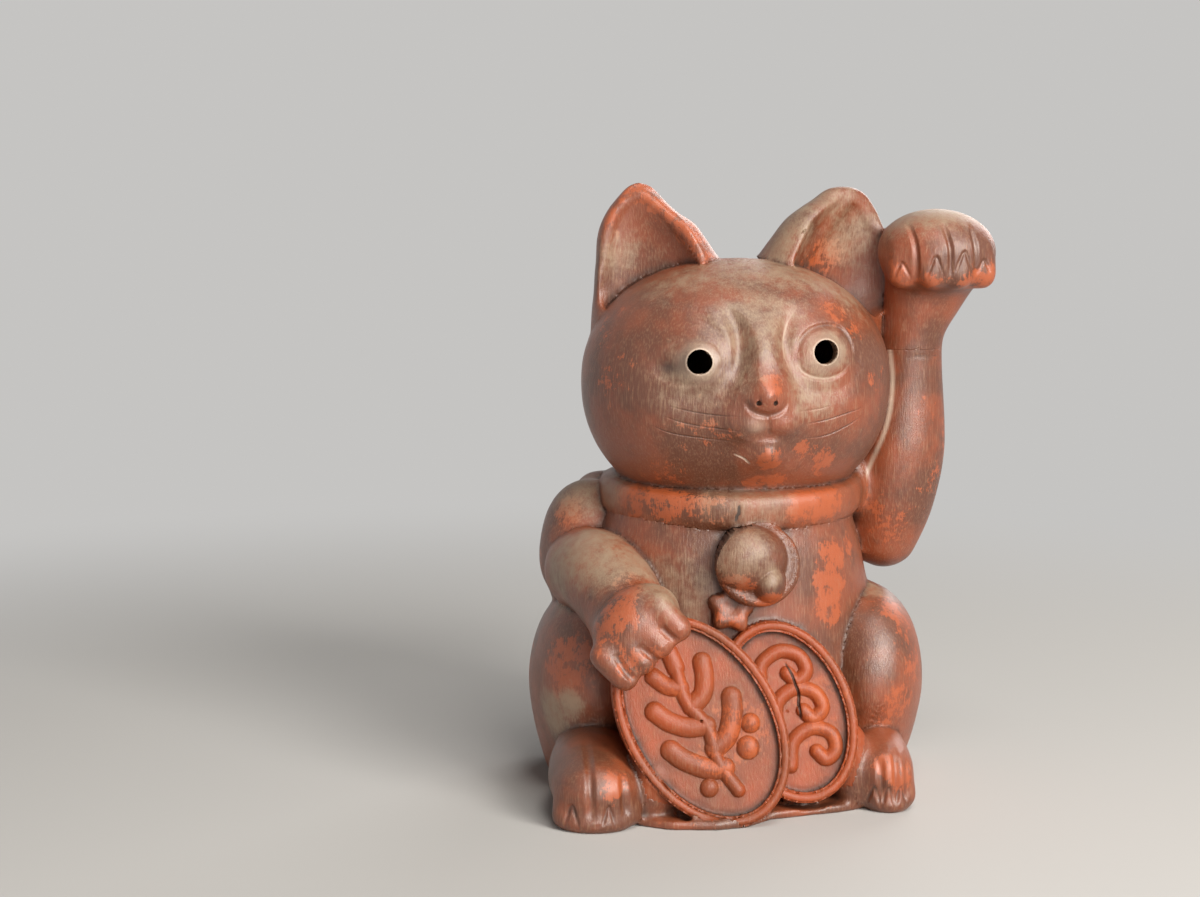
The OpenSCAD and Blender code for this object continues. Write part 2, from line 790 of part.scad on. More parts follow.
// Forearm of the lowered arm
module right_forearm() {
    color("salmon")
        place()
            difference() {
                forearm_form();
                torso_form();
                shoulder_form();
                haunch_form(-1);
                first_form();
            }
}

// Paw of the lowered arm on the coin
module right_front_paw() {
    color("indianred")
        place()
            difference() {
                front_paw_form();
                torso_form();
                forearm_form();
                first_form();
            }
}

// Large oval coin with the clay that holds it to the belly
module large_coin() {
    color("orange")
        place()
            difference() {
                stand(first_at, coin_tilt) {
                    coin_plate(coin_l, coin_w);
                    wad();
                }
                torso_form();
                second_form();
                under_floor();
            }
}

// Small oval coin behind the large one
module small_coin() {
    color("gold")
        place()
            difference() {
                stand(second_at, second_tilt)
                    coin_plate(second_l, second_w);
                torso_form();
                under_floor();
            }
}

// Haunch pressed on the side of the torso
module haunch(s) {
    place()
        difference() {
            haunch_form(s);
            torso_form();
        }
}

// Right haunch
module right_haunch() {
    color("rosybrown")
        haunch(-1);
}

// Left haunch
module left_haunch() {
    color("rosybrown")
        haunch(1);
}

// Hind paw in front of its haunch
module hind_paw(s) {
    place()
        difference() {
            hind_form(s);
            torso_form();
            haunch_form(s);
            first_form();
            second_form();
        }
}

// Right hind paw
module right_hind_paw() {
    color("tan")
        hind_paw(-1);
}

// Left hind paw
module left_hind_paw() {
    color("tan")
        hind_paw(1);
}

// Foot of clay in front, between the paws and under the coins
module front_foot() {
    color("brown")
        place()
            difference() {
                foot_form();
                torso_form();
                haunch_form(-1);
                haunch_form(1);
                first_form();
                second_form();
                hind_form(-1);
                hind_form(1);
            }
}

// Tail pressed on the back
module tail() {
    color("rosybrown")
        place()
            difference() {
                tail_form();
                torso_form();
            }
}

front_shell();
back_shell();
face_shell();
nape_shell();
right_ear();
left_ear();
collar();
bell();
star_knot();
raised_arm();
raised_paw();
right_shoulder();
right_forearm();
right_front_paw();
large_coin();
small_coin();
right_haunch();
left_haunch();
right_hind_paw();
left_hind_paw();
front_foot();
tail();
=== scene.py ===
import json
import math

import bpy
import numpy as np
from mathutils import Matrix, Vector
from mathutils.bvhtree import BVHTree


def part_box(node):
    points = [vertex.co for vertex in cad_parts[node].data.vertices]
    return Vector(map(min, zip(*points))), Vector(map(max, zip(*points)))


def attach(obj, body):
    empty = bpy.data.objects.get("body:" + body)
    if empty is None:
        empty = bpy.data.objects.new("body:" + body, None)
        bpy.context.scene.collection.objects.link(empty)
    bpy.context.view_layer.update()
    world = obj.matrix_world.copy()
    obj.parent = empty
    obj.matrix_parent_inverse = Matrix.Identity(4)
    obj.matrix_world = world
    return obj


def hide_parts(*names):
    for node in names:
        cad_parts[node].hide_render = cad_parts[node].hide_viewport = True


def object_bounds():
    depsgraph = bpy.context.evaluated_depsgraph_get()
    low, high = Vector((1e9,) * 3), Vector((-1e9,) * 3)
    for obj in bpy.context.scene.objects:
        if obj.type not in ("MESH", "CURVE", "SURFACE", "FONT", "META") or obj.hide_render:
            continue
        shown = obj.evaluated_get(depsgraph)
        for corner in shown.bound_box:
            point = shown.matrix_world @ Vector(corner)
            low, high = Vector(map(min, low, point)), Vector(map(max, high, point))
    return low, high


# Frame
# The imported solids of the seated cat, in metres, and the box that they fill.
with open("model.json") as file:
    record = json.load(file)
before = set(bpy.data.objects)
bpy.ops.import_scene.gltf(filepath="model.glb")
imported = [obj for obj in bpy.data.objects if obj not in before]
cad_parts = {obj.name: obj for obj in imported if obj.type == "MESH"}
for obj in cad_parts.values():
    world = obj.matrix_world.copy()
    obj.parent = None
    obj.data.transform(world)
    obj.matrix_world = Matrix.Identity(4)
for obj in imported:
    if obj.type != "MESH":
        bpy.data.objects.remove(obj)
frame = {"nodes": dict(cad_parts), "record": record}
nodes = frame["nodes"]
cad_box = [list(corner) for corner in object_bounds()]
mm = 0.001

# Studio
# A pale floor that fades into a pale room, soft lamps on the right, in front, above and behind, a weak one
# on the left, and a camera where the picture was taken from, to the cat's right and a little above its eyes.
camera_at = Vector((-0.1511, -1.0807, 0.2795))
camera_pitch = math.radians(84)
camera_heading = math.radians(-3.774)
camera_lens = 66
room_colour = (0.56, 0.552, 0.54, 1)
room_light = 0.1
lamp_aim = (0, 0, 0.15)
warm_light = (1.0, 0.96, 0.90)
plain_light = (1.0, 0.98, 0.95)
floor_radius = 4
fade_start = 0.35
fade_end = 1.1

bpy.ops.object.select_all(action="DESELECT")
bpy.ops.object.camera_add(location=camera_at, rotation=(camera_pitch, 0, camera_heading))
camera = bpy.context.object
camera.data.sensor_fit = "HORIZONTAL"
camera.data.sensor_width = 36
camera.data.lens = camera_lens
camera.data.clip_end = 50
bpy.context.scene.camera = camera
bpy.context.scene.view_settings.view_transform = "Standard"


def lamp(name, place, aim, size, power, colour):
    """Adds a square soft lamp that faces a point."""
    bpy.ops.object.light_add(type="AREA", location=place)
    light = bpy.context.object
    light.name = name
    light.rotation_euler = (Vector(aim) - Vector(place)).to_track_quat("-Z", "Y").to_euler()
    light.data.size = size
    light.data.energy = power
    light.data.color = colour
    light.visible_camera = False


lamp("key_lamp", (1.05, -1.56, 1.02), lamp_aim, 0.8, 44.0, warm_light)
lamp("front_lamp", (0.36, -2.05, 0.50), lamp_aim, 0.6, 17.0, warm_light)
lamp("top_lamp", (0.20, -0.85, 1.75), lamp_aim, 0.75, 13.0, warm_light)
lamp("fill_lamp", (-0.95, -0.75, 0.45), (0, 0, 0.14), 0.8, 0.6, plain_light)
lamp("back_lamp", (0.90, 1.60, 1.0), lamp_aim, 1.1, 16.0, (1.0, 0.98, 0.96))

world = bpy.data.worlds.new("room")
bpy.context.scene.world = world
world.use_nodes = True
sky = world.node_tree
sky.nodes["Background"].inputs["Color"].default_value = (*plain_light, 1)
sky.nodes["Background"].inputs["Strength"].default_value = room_light
seen = sky.nodes.new("ShaderNodeBackground")
seen.inputs["Color"].default_value = room_colour
path = sky.nodes.new("ShaderNodeLightPath")
room_mix = sky.nodes.new("ShaderNodeMixShader")
shown = sky.nodes.new("ShaderNodeMath")
shown.operation = "MAXIMUM"
mirrored = sky.nodes.new("ShaderNodeMath")
mirrored.operation = "MAXIMUM"
sky.links.new(path.outputs["Is Glossy Ray"], mirrored.inputs[0])
sky.links.new(path.outputs["Is Transmission Ray"], mirrored.inputs[1])
sky.links.new(path.outputs["Is Camera Ray"], shown.inputs[0])
sky.links.new(mirrored.outputs["Value"], shown.inputs[1])
sky.links.new(shown.outputs["Value"], room_mix.inputs["Fac"])
sky.links.new(sky.nodes["Background"].outputs["Background"], room_mix.inputs[1])
sky.links.new(seen.outputs["Background"], room_mix.inputs[2])
sky.links.new(room_mix.outputs["Shader"], sky.nodes["World Output"].inputs["Surface"])

bpy.ops.mesh.primitive_circle_add(vertices=96, radius=floor_radius, fill_type="NGON", location=(0, 0, 0))
floor = bpy.context.object
floor.name = "floor"
floor_paint = bpy.data.materials.new("floor_paint")
floor_paint.use_nodes = True
tree = floor_paint.node_tree
paint = tree.nodes["Principled BSDF"]
paint.inputs["Base Color"].default_value = room_colour
paint.inputs["Roughness"].default_value = 0.9
paint.inputs["Specular IOR Level"].default_value = 0.05
glow = tree.nodes.new("ShaderNodeEmission")
glow.inputs["Color"].default_value = room_colour
place = tree.nodes.new("ShaderNodeTexCoord")
reach = tree.nodes.new("ShaderNodeVectorMath")
reach.operation = "LENGTH"
fade = tree.nodes.new("ShaderNodeMapRange")
fade.interpolation_type = "SMOOTHSTEP"
fade.inputs["From Min"].default_value = fade_start
fade.inputs["From Max"].default_value = fade_end
floor_mix = tree.nodes.new("ShaderNodeMixShader")
tree.links.new(place.outputs["Object"], reach.inputs[0])
tree.links.new(reach.outputs["Value"], fade.inputs["Value"])
tree.links.new(fade.outputs["Result"], floor_mix.inputs["Fac"])
tree.links.new(paint.outputs["BSDF"], floor_mix.inputs[1])
tree.links.new(glow.outputs["Emission"], floor_mix.inputs[2])
tree.links.new(floor_mix.outputs["Shader"], tree.nodes["Material Output"].inputs["Surface"])
floor.data.materials.append(floor_paint)

# Luted figure
# Red stoneware: the members are pressed or rolled by hand, luted together with slip while the clay is soft,
# and smoothed over, so that the joints between them become soft creases in one skin.
clay_grain = 1.0 * mm
eye_reach = 30
eye_lift = {-1: 13, 1: 17}
eye_bore = 5.8
skull_back = 62 * mm
crown = 60 * mm
head_turn = math.radians(5)
foot_share = 0.45
collar_tip = math.radians(4)
plug_half = (74, 68)
plug_depth = 6
eye_plug_radius = 7
eye_plug_depth = 32
eye_plug_ahead = 43
luting_inset = 8
luting_height = 22
luting_lift = 3
border_turns = 6
blend_turns = 12
crease_turns = 8
crease_smoothing = 12
broad_turns = 40
crease_depth = 1.2
forms = {
    "front_shell": ("torso", 90), "back_shell": ("torso", 90), "face_shell": ("head", 30),
    "nape_shell": ("head", 90), "right_ear": ("right_ear", 70), "left_ear": ("left_ear", 70),
    "collar": ("collar", 30), "bell": ("bell", 8), "star_knot": ("star_knot", 2),
    "raised_arm": ("raised_arm", 70), "raised_paw": ("raised_arm", 70), "right_shoulder": ("shoulder", 60),
    "right_forearm": ("forearm", 60), "right_front_paw": ("forearm", 45), "large_coin": ("large_coin", 3),
    "small_coin": ("small_coin", 3), "right_haunch": ("right_haunch", 90),
    "left_haunch": ("left_haunch", 90), "right_hind_paw": ("right_hind", 60),
    "left_hind_paw": ("left_hind", 50), "front_foot": ("foot", 18), "tail": ("tail", 50),
}
names = list(forms)

face_low, face_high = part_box("face_shell")
nape_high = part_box("nape_shell")[1]
head_middle = Vector(((face_low.x + face_high.x) / 2, nape_high.y - skull_back, face_high.z - crown))
head_frame = Matrix.Translation(head_middle) @ Matrix.Rotation(head_turn, 4, "Z")


def pick(piece):
    """Makes a piece the only one that operators act on."""
    bpy.ops.object.select_all(action="DESELECT")
    piece.select_set(True)
    bpy.context.view_layer.objects.active = piece


bpy.ops.object.select_all(action="DESELECT")
solids = []
for name in names:
    solid = bpy.data.objects.new("clay_" + name, nodes[name].data.copy())
    bpy.context.scene.collection.objects.link(solid)
    solid.data.materials.clear()
    solid.scale.z = foot_share if name == "front_foot" else 1
    solids.append(solid)

# Plugs keep the inside closed while the skin is smoothed: one under the torso and one in each eye.
torso_low, torso_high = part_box("back_shell")
front_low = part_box("front_shell")[0]
foot_middle = ((torso_low.x + torso_high.x) / 2, (front_low.y + torso_high.y) / 2, plug_depth / 2 * mm)
bpy.ops.mesh.primitive_cylinder_add(vertices=64, radius=1, depth=plug_depth * mm, location=foot_middle)
plug = bpy.context.object
plug.scale = (plug_half[0] * mm, plug_half[1] * mm, 1)
bpy.ops.object.transform_apply(location=True, rotation=True, scale=True)
solids.append(plug)
for side in (-1, 1):
    eye_plug = head_frame @ (Vector((side * eye_reach, -eye_plug_ahead, eye_lift[side])) * mm)
    bpy.ops.mesh.primitive_cylinder_add(vertices=32, radius=eye_plug_radius * mm, depth=eye_plug_depth * mm,
                                        location=eye_plug, rotation=(math.pi / 2, 0, head_turn))
    bpy.ops.object.transform_apply(location=True, rotation=True, scale=True)
    solids.append(bpy.context.object)

# Slip fills the corners where the coins meet the hind paws, the gap behind the raised arm, and the neck.
fills = [((-61, -80, 16), (15, 15, 20)), ((36, -62, 18), (10, 14, 22)),
         ((52.5, -64, 4), (13, 17, 7)), ((-88, -90, 4), (20, 17, 7)), ((48, 6, 147), (10, 14, 17))]
for middle, reach in fills:
    bpy.ops.mesh.primitive_uv_sphere_add(segments=32, ring_count=16, radius=1, location=Vector(middle) * mm)
    fill = bpy.context.object
    fill.scale = Vector(reach) * mm
    bpy.ops.object.transform_apply(location=True, rotation=True, scale=True)
    solids.append(fill)

collar_low, collar_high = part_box("collar")
collar_half = (collar_high - collar_low) / 2 - Vector((luting_inset, luting_inset, 0)) * mm
collar_middle = (collar_low + collar_high) / 2 + Vector((0, 0, luting_lift)) * mm
bpy.ops.mesh.primitive_cylinder_add(vertices=96, radius=1, depth=luting_height * mm,
                                    location=collar_middle, rotation=(collar_tip, 0, 0))
luting = bpy.context.object
luting.scale = (collar_half.x, collar_half.y, 1)
bpy.ops.object.transform_apply(location=True, rotation=True, scale=True)
solids.append(luting)

corners, triangles, owners = [], [], []
for owner, name in enumerate(names):
    mesh = nodes[name].data
    start = len(corners)
    corners += [vertex.co.copy() for vertex in mesh.vertices]
    triangles += [[start + i for i in face.vertices] for face in mesh.polygons]
    owners += [owner] * len(mesh.polygons)
cad_skin = BVHTree.FromPolygons(corners, triangles)

bpy.ops.object.select_all(action="DESELECT")
for solid in solids:
    solid.select_set(True)
bpy.context.view_layer.objects.active = solids[0]
bpy.ops.object.join()
figure = bpy.context.object
figure.name = "figure"
bpy.ops.object.mode_set(mode="EDIT")
bpy.ops.mesh.select_all(action="SELECT")
bpy.ops.mesh.remove_doubles(threshold=0.01 * mm)
bpy.ops.object.mode_set(mode="OBJECT")
figure.data.remesh_voxel_size = clay_grain
figure.data.remesh_voxel_adaptivity = 0
bpy.ops.object.voxel_remesh()


def read(items, field, width=1, kind=np.float32):
    """Reads one field of a mesh's parts as an array."""
    values = np.empty(len(items) * width, dtype=kind)
    items.foreach_get(field, values)
    return values.reshape(-1, width) if width > 1 else values


mesh = figure.data
count = len(mesh.vertices)
edges = read(mesh.edges, "vertices", 2, np.int32)
first, second = edges[:, 0], edges[:, 1]
degree = np.bincount(first, minlength=count) + np.bincount(second, minlength=count)
face_loops = read(mesh.loops, "vertex_index", kind=np.int32)
face_of_loop = np.repeat(np.arange(len(mesh.polygons)), read(mesh.polygons, "loop_total", kind=np.int32))
faces_at = np.bincount(face_loops, minlength=count)


def spread(values):
    """Averages a value at each vertex over the vertices next to it."""
    if values.ndim == 1:
        total = np.bincount(first, values[second], count) + np.bincount(second, values[first], count)
        return total / degree
    return np.stack([spread(values[:, axis]) for axis in range(values.shape[1])], axis=1)


# Each face goes to the member whose solid is nearest, with the borders between members evened out.
nearest = [owners[cad_skin.find_nearest(Vector(at))[2]] for at in read(mesh.polygons, "center", 3)]
nearest = np.array(nearest, dtype=np.int32)
votes = np.zeros((len(mesh.polygons), len(names)))
for owner in range(len(names)):
    vote = np.bincount(face_loops, (nearest == owner)[face_of_loop].astype(float), count)
    for step in range(border_turns):
        vote = spread(vote)
    votes[:, owner] = np.bincount(face_of_loop, vote[face_loops])
owner_of_face = votes.argmax(axis=1).astype(np.int32)

form_names = sorted({form for form, turns in forms.values()})
form_of_face = np.array([form_names.index(forms[name][0]) for name in names])[owner_of_face]
turns_of_face = np.array([forms[name][1] for name in names], dtype=float)[owner_of_face]
turns = np.bincount(face_loops, turns_of_face[face_of_loop], count) / faces_at
for step in range(blend_turns):
    turns = spread(turns)

# A vertex between two forms lies in a crease, which keeps its shape better than the open surface.
low_form = np.full(count, len(form_names))
high_form = np.full(count, -1)
np.minimum.at(low_form, face_loops, form_of_face[face_of_loop])
np.maximum.at(high_form, face_loops, form_of_face[face_of_loop])
near_crease = (low_form != high_form).astype(float)
for step in range(crease_turns):
    near_crease = np.maximum(near_crease, spread(near_crease) * 0.98)
keep = np.clip(near_crease * 1.6, 0, 1)
turns = turns * (1 - keep) + np.minimum(turns, crease_smoothing) * keep


def relax(values, turns):
    """Smooths a value over the skin, each vertex for its own number of turns."""
    values = values.copy()
    for turn in range(int(turns.max())):
        moving = np.clip(turns - turn, 0, 1)[:, None] * 0.6
        values += (spread(values) - values) * moving
    return values


co = read(mesh.vertices, "co", 3).astype(float)
soft = relax(co, turns)
soft += relax(co - soft, turns)
soft[:, 2] = np.maximum(soft[:, 2], 0)
mesh.vertices.foreach_set("co", soft.astype(np.float32).ravel())
mesh.update()

mesh.polygons.foreach_set("material_index", owner_of_face)
for name in names:
    mesh.materials.append(bpy.data.materials.new("mark_" + name))


def keep_mark(piece, label, values):
    """Stores a value for each vertex under a label that a finish can read."""
    marks = piece.data.attributes
    mark = marks.get(label) or marks.new(label, "FLOAT", "POINT")
    mark.data.foreach_set("value", np.asarray(values, dtype=np.float32))


# Signs of age that every member carries: how deep a place lies in a crease, where soot and painted shade
# darken it, and how far it stands proud.
outward = read(mesh.vertices, "normal", 3).astype(float)
wide = soft.copy()
for step in range(broad_turns):
    wide += (spread(wide) - wide) * 0.8
hollow = np.einsum("ij,ij->i", wide - soft, outward) / mm
for step in range(2):
    hollow = spread(hollow)
keep_mark(figure, "crease", np.clip(hollow / crease_depth, 0, 1))
keep_mark(figure, "proud", np.clip(-hollow / crease_depth, 0, 1))

pick(figure)
bpy.ops.object.mode_set(mode="EDIT")
bpy.ops.mesh.select_all(action="SELECT")
bpy.ops.mesh.separate(type="MATERIAL")
bpy.ops.object.mode_set(mode="OBJECT")
members = {}
for member in list(bpy.context.selected_objects):
    name = member.data.materials[0].name.removeprefix("mark_")
    member.name = "stoneware_" + name
    member.data.materials.clear()
    members[name] = member

# Torso shells
# The body is two halves of red stoneware, each pressed in its own mould and luted along the sides;
# the inside is hollow and open underneath, and the outside is burnished with a smooth stone.
torso_wall = 5
red_clay = (0.232, 0.053, 0.018, 1)
brown_clay = (0.118, 0.034, 0.014, 1)
worn_clay = (0.410, 0.088, 0.024, 1)
brush_tan = (0.400, 0.220, 0.125, 1)
dry_dust = (0.340, 0.245, 0.160, 1)
soot_and_shade_tone = (0.030, 0.018, 0.013, 1)
old_slip_and_highlight = (0.60, 0.47, 0.36, 1)


def stoneware(name, red, brown, veil, sheen):
    """Makes burnished red stoneware: mottled, brushed, worn and dusty, with soot and painted shade in the
    creases.
    """
    clay = bpy.data.materials.new(name)
    clay.use_nodes = True
    tree = clay.node_tree
    place = tree.nodes.new("ShaderNodeTexCoord")

    def put(socket, value):
        """Links a socket to another one, or sets it to a plain value."""
        if isinstance(value, bpy.types.NodeSocket):
            tree.links.new(value, socket)
        else:
            socket.default_value = value

    def clouds(size, detail, rough, stretch=(1, 1, 1)):
        """Gives cloudy noise with features of about the given size in mm."""
        turn = tree.nodes.new("ShaderNodeMapping")
        turn.inputs["Scale"].default_value = stretch
        tree.links.new(place.outputs["Object"], turn.inputs["Vector"])
        noise = tree.nodes.new("ShaderNodeTexNoise")
        noise.inputs["Scale"].default_value = 1 / (size * mm)
        noise.inputs["Detail"].default_value = detail
        noise.inputs["Roughness"].default_value = rough
        tree.links.new(turn.outputs["Vector"], noise.inputs["Vector"])
        return noise.outputs["Fac"]

    def reckon(operation, first, second):
        """Works out a sum or product of two values."""
        step = tree.nodes.new("ShaderNodeMath")
        step.operation = operation
        put(step.inputs[0], first)
        put(step.inputs[1], second)
        return step.outputs["Value"]

    def between(value, low, high, top=1.0):
        """Rises softly from nothing at a low value to the top at a high one."""
        step = tree.nodes.new("ShaderNodeMapRange")
        step.interpolation_type = "SMOOTHSTEP"
        put(step.inputs["Value"], value)
        step.inputs["From Min"].default_value = low
        step.inputs["From Max"].default_value = high
        step.inputs["To Max"].default_value = top
        return step.outputs["Result"]

    def over(share, under, colour):
        """Lays a colour over another by a share."""
        mix = tree.nodes.new("ShaderNodeMix")
        mix.data_type = "RGBA"
        put(mix.inputs["Factor"], share)
        put(mix.inputs["A"], under)
        put(mix.inputs["B"], colour)
        return mix.outputs["Result"]

    def marked(label):
        """Reads a mark that the piece keeps at its vertices."""
        mark = tree.nodes.new("ShaderNodeAttribute")
        mark.attribute_name = label
        return mark.outputs["Fac"]

    tone = clouds(45, 6, 0.6)
    mottle = clouds(9, 8, 0.6)
    flake = clouds(6, 10, 0.72)
    brush = clouds(0.7, 4, 0.6, (1, 1, 0.10))
    grain = clouds(0.35, 2, 0.5)

    colour = over(between(tone, 0.40, 0.60), brown, red)
    colour = over(between(mottle, 0.50, 0.72, 0.5), colour, brown)
    colour = over(between(brush, 0.46, 0.72, 0.32 * veil), colour, brush_tan)
    rubbed = reckon("ADD", marked("worn"), reckon("MULTIPLY", marked("proud"), 0.25))
    edge = reckon("ADD", reckon("MULTIPLY", flake, 3.0), brush)
    bare = between(reckon("ADD", rubbed, edge), 2.60, 2.78, 0.85)
    colour = over(bare, colour, worn_clay)
    drift = reckon("ADD", reckon("MULTIPLY", flake, 1.8), reckon("MULTIPLY", brush, 0.7))
    dusty = between(reckon("ADD", marked("dust"), drift), 1.35, 2.35, 0.85 * veil)
    colour = over(dusty, colour, dry_dust)
    # Soot and painted shade: creases and the marked grimy places darken towards a near-black brown.
    grime_and_shade_amount = reckon("ADD", reckon("MULTIPLY", marked("crease"), 0.6), marked("grime"))
    soot_and_shade = between(reckon("MULTIPLY", grime_and_shade_amount, reckon("ADD", mottle, 0.6)), 0.10, 1.0, 0.88)
    colour = over(soot_and_shade, colour, soot_and_shade_tone)
    colour = over(marked("pale"), colour, old_slip_and_highlight)

    body = tree.nodes["Principled BSDF"]
    put(body.inputs["Base Color"], colour)
    satin = reckon("ADD", 0.25, reckon("MULTIPLY", reckon("ADD", mottle, brush), 0.14))
    satin = reckon("ADD", satin, reckon("MULTIPLY", reckon("ADD", dusty, soot_and_shade), 0.14))
    put(body.inputs["Roughness"], satin)
    body.inputs["Specular IOR Level"].default_value = sheen
    rough = reckon("ADD", reckon("MULTIPLY", brush, 0.8), reckon("MULTIPLY", grain, 0.4))
    rough = reckon("ADD", rough, reckon("MULTIPLY", mottle, 0.8))
    relief = tree.nodes.new("ShaderNodeBump")
    relief.inputs["Strength"].default_value = 0.45
    relief.inputs["Distance"].default_value = 0.5 * mm
    put(relief.inputs["Height"], rough)
    put(body.inputs["Normal"], relief.outputs["Normal"])
    return clay


clays = {"body_clay": stoneware("body_clay", red_clay, brown_clay, 1.0, 0.85)}
slots = {entry["node"]: entry["material_slot"] for entry in frame["record"]["subparts"]}


def thicken(piece, wall):
    """Gives a skin a wall inwards, in mm, and marks the vertices of its outer side."""
    outer = len(piece.data.vertices)
    pick(piece)
    bpy.ops.object.modifier_add(type="SOLIDIFY")
    shell = piece.modifiers["Solidify"]
    shell.thickness = wall * mm
    shell.offset = -1
    bpy.ops.object.modifier_apply(modifier="Solidify")
    keep_mark(piece, "skin", np.arange(len(piece.data.vertices)) < outer)


def surface(piece):
    """Gives the places of a piece's vertices in mm, their normals, and which are on the outer side."""
    mesh = piece.data
    at = read(mesh.vertices, "co", 3).astype(float) / mm
    out = read(mesh.vertices, "normal", 3).astype(float)
    return at, out, read(mesh.attributes["skin"].data, "value") > 0.5


def stain(piece, label, spots):
    """Marks round places of a piece: the middle and the reach of each in mm, and its strength."""
    at = surface(piece)[0]
    marks = piece.data.attributes.get(label)
    value = read(marks.data, "value") if marks else np.zeros(len(at))
    for middle, reach, strength in spots:
        near = np.clip(1.35 - np.linalg.norm(at - middle, axis=1) / reach, 0, 1)
        value = np.maximum(value, strength * near * near * (3 - 2 * near))
    keep_mark(piece, label, value)


def fire(name):
    """Finishes a member: inside the solids' box, with its clay, soft shading and place in the frame."""
    piece = members[name]
    pick(piece)
    at = np.clip(read(piece.data.vertices, "co", 3), cad_box[0], cad_box[1])
    piece.data.vertices.foreach_set("co", at.astype(np.float32).ravel())
    piece.data.update()
    piece.data.materials.clear()
    piece.data.materials.append(clays[slots[name]])
    bpy.ops.object.shade_smooth_by_angle(angle=math.radians(60))
    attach(piece, "root")
    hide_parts(name)


def dress(name, wall, worn, dust):
    """Finishes a plain member with a wall in mm, and with worn and dusty places."""
    piece = members[name]
    thicken(piece, wall)
    stain(piece, "worn", worn)
    stain(piece, "dust", dust)
    fire(name)


def choose_faces(piece, chosen):
    """Opens a piece for editing with only the chosen faces selected."""
    pick(piece)
    bpy.context.tool_settings.mesh_select_mode = (False, False, True)
    bpy.ops.object.mode_set(mode="EDIT")
    bpy.ops.mesh.select_all(action="DESELECT")
    bpy.ops.object.mode_set(mode="OBJECT")
    piece.data.polygons.foreach_set("select", chosen)
    bpy.ops.object.mode_set(mode="EDIT")


chest_wear = [((29, -45, 117), 13, 0.9), ((28, -48, 105), 13, 0.9), ((27, -49, 93), 12, 0.85),
              ((38, -36, 120), 9, 0.7), ((-62, 40, 118), 16, 0.7), ((40, 66, 60), 22, 0.6),
              ((-30, 80, 105), 18, 0.6), ((-70, 60, 60), 20, 0.55)]
chest_dust = [((-45, -60, 100), 26, 0.5), ((-22, -70, 100), 22, 0.4), ((-10, 60, 135), 40, 0.6)]
for name in ("front_shell", "back_shell"):
    shell = members[name]
    at = read(shell.data.polygons, "center", 3)
    down = read(shell.data.polygons, "normal", 3)[:, 2]
    choose_faces(shell, (at[:, 2] < 0.6 * mm) & (down < -0.6))
    bpy.ops.mesh.delete(type="FACE")
    bpy.ops.object.mode_set(mode="OBJECT")
    dress(name, torso_wall, chest_wear, chest_dust)

# Head shells
# The hollow head is a face half and a nape half, luted round the ears; the eyes are bored right through,
# the lids, nose and mouth are modelled by hand in soft clay, and the whiskers are scratched with a point.
head_wall = 4
face_share = 0.57
face_half = 58
face_low_edge = -46
face_top_edge = 42
eye_field = 9
nose_start = 65.5
nose_give = 0.5
soft_ends = 1.6
face = members["face_shell"]
into_head = np.array(head_frame.inverted())


def curve(points, steps=8):
    """Draws a smooth line through a few points."""
    points = np.array(points, dtype=float)
    ends = np.vstack([2 * points[0] - points[1], points, 2 * points[-1] - points[-2]])
    line = []
    for a, b, c, d in zip(ends, ends[1:], ends[2:], ends[3:]):
        for f in np.arange(steps) / steps:
            line.append(b + 0.5 * f * (c - a + f * (2 * a - 5 * b + 4 * c - d + f * (3 * (b - c) + d - a))))
    return np.array(line + [points[-1]])


def away(flat, points, reach):
    """Measures how far each point is from a smooth line, up to a reach, and where along the line it lies."""
    line = curve(points)
    near = np.full(len(flat), float(reach))
    share = np.zeros(len(flat))
    close = ((flat > line.min(axis=0) - reach) & (flat < line.max(axis=0) + reach)).all(axis=1)
    spots, best, place = flat[close], near[close], share[close]
    for step, (a, b) in enumerate(zip(line, line[1:])):
        way = b - a
        along = np.clip((spots - a) @ way / (way @ way), 0, 1)
        far = np.linalg.norm(spots - a - along[:, None] * way, axis=1)
        place = np.where(far < best, (step + along) / (len(line) - 1), place)
        best = np.minimum(best, far)
    near[close], share[close] = best, place
    return near, share


def groove(flat, points, width, firm=3):
    """Gives the mark of a round tool along a line: one in the middle, fading to the sides and ends."""
    near, along = away(flat, points, width)
    return (1 - (near / width) ** 2) ** 2 * (1 - np.abs(2 * along - 1) ** firm)


def mound(flat, middle, reach):
    """Gives a soft round rise of unit height about a middle."""
    return np.exp(-(((flat - middle) / reach) ** 2).sum(axis=1))


def refine(piece, chosen):
    """Cuts the chosen faces of a piece in four."""
    choose_faces(piece, chosen)
    bpy.ops.mesh.subdivide(number_cuts=1, smoothness=0)
    bpy.ops.object.mode_set(mode="OBJECT")


def press(piece, depth, way=None):
    """Pushes each vertex of a piece by its own depth in mm, along a way or else against its normal."""
    mesh = piece.data
    at = read(mesh.vertices, "co", 3).astype(float)
    inward = -read(mesh.vertices, "normal", 3) if way is None else np.array(way)
    at += inward * (depth * mm)[:, None]
    mesh.vertices.foreach_set("co", at.astype(np.float32).ravel())
    mesh.update()


def from_front(at):
    """Gives places in the head's own frame in mm: across and up, and how far forward."""
    local = at * mm @ into_head[:3, :3].T + into_head[:3, 3]
    return local[:, [0, 2]] / mm, -local[:, 1] / mm


turned = np.array(head_frame)[:3, :3]


def from_eye(flat, side):
    """Gives the offset of each place from the middle of an eye, and its distance."""
    offset = flat - (side * eye_reach, eye_lift[side])
    return offset, np.linalg.norm(offset, axis=1)


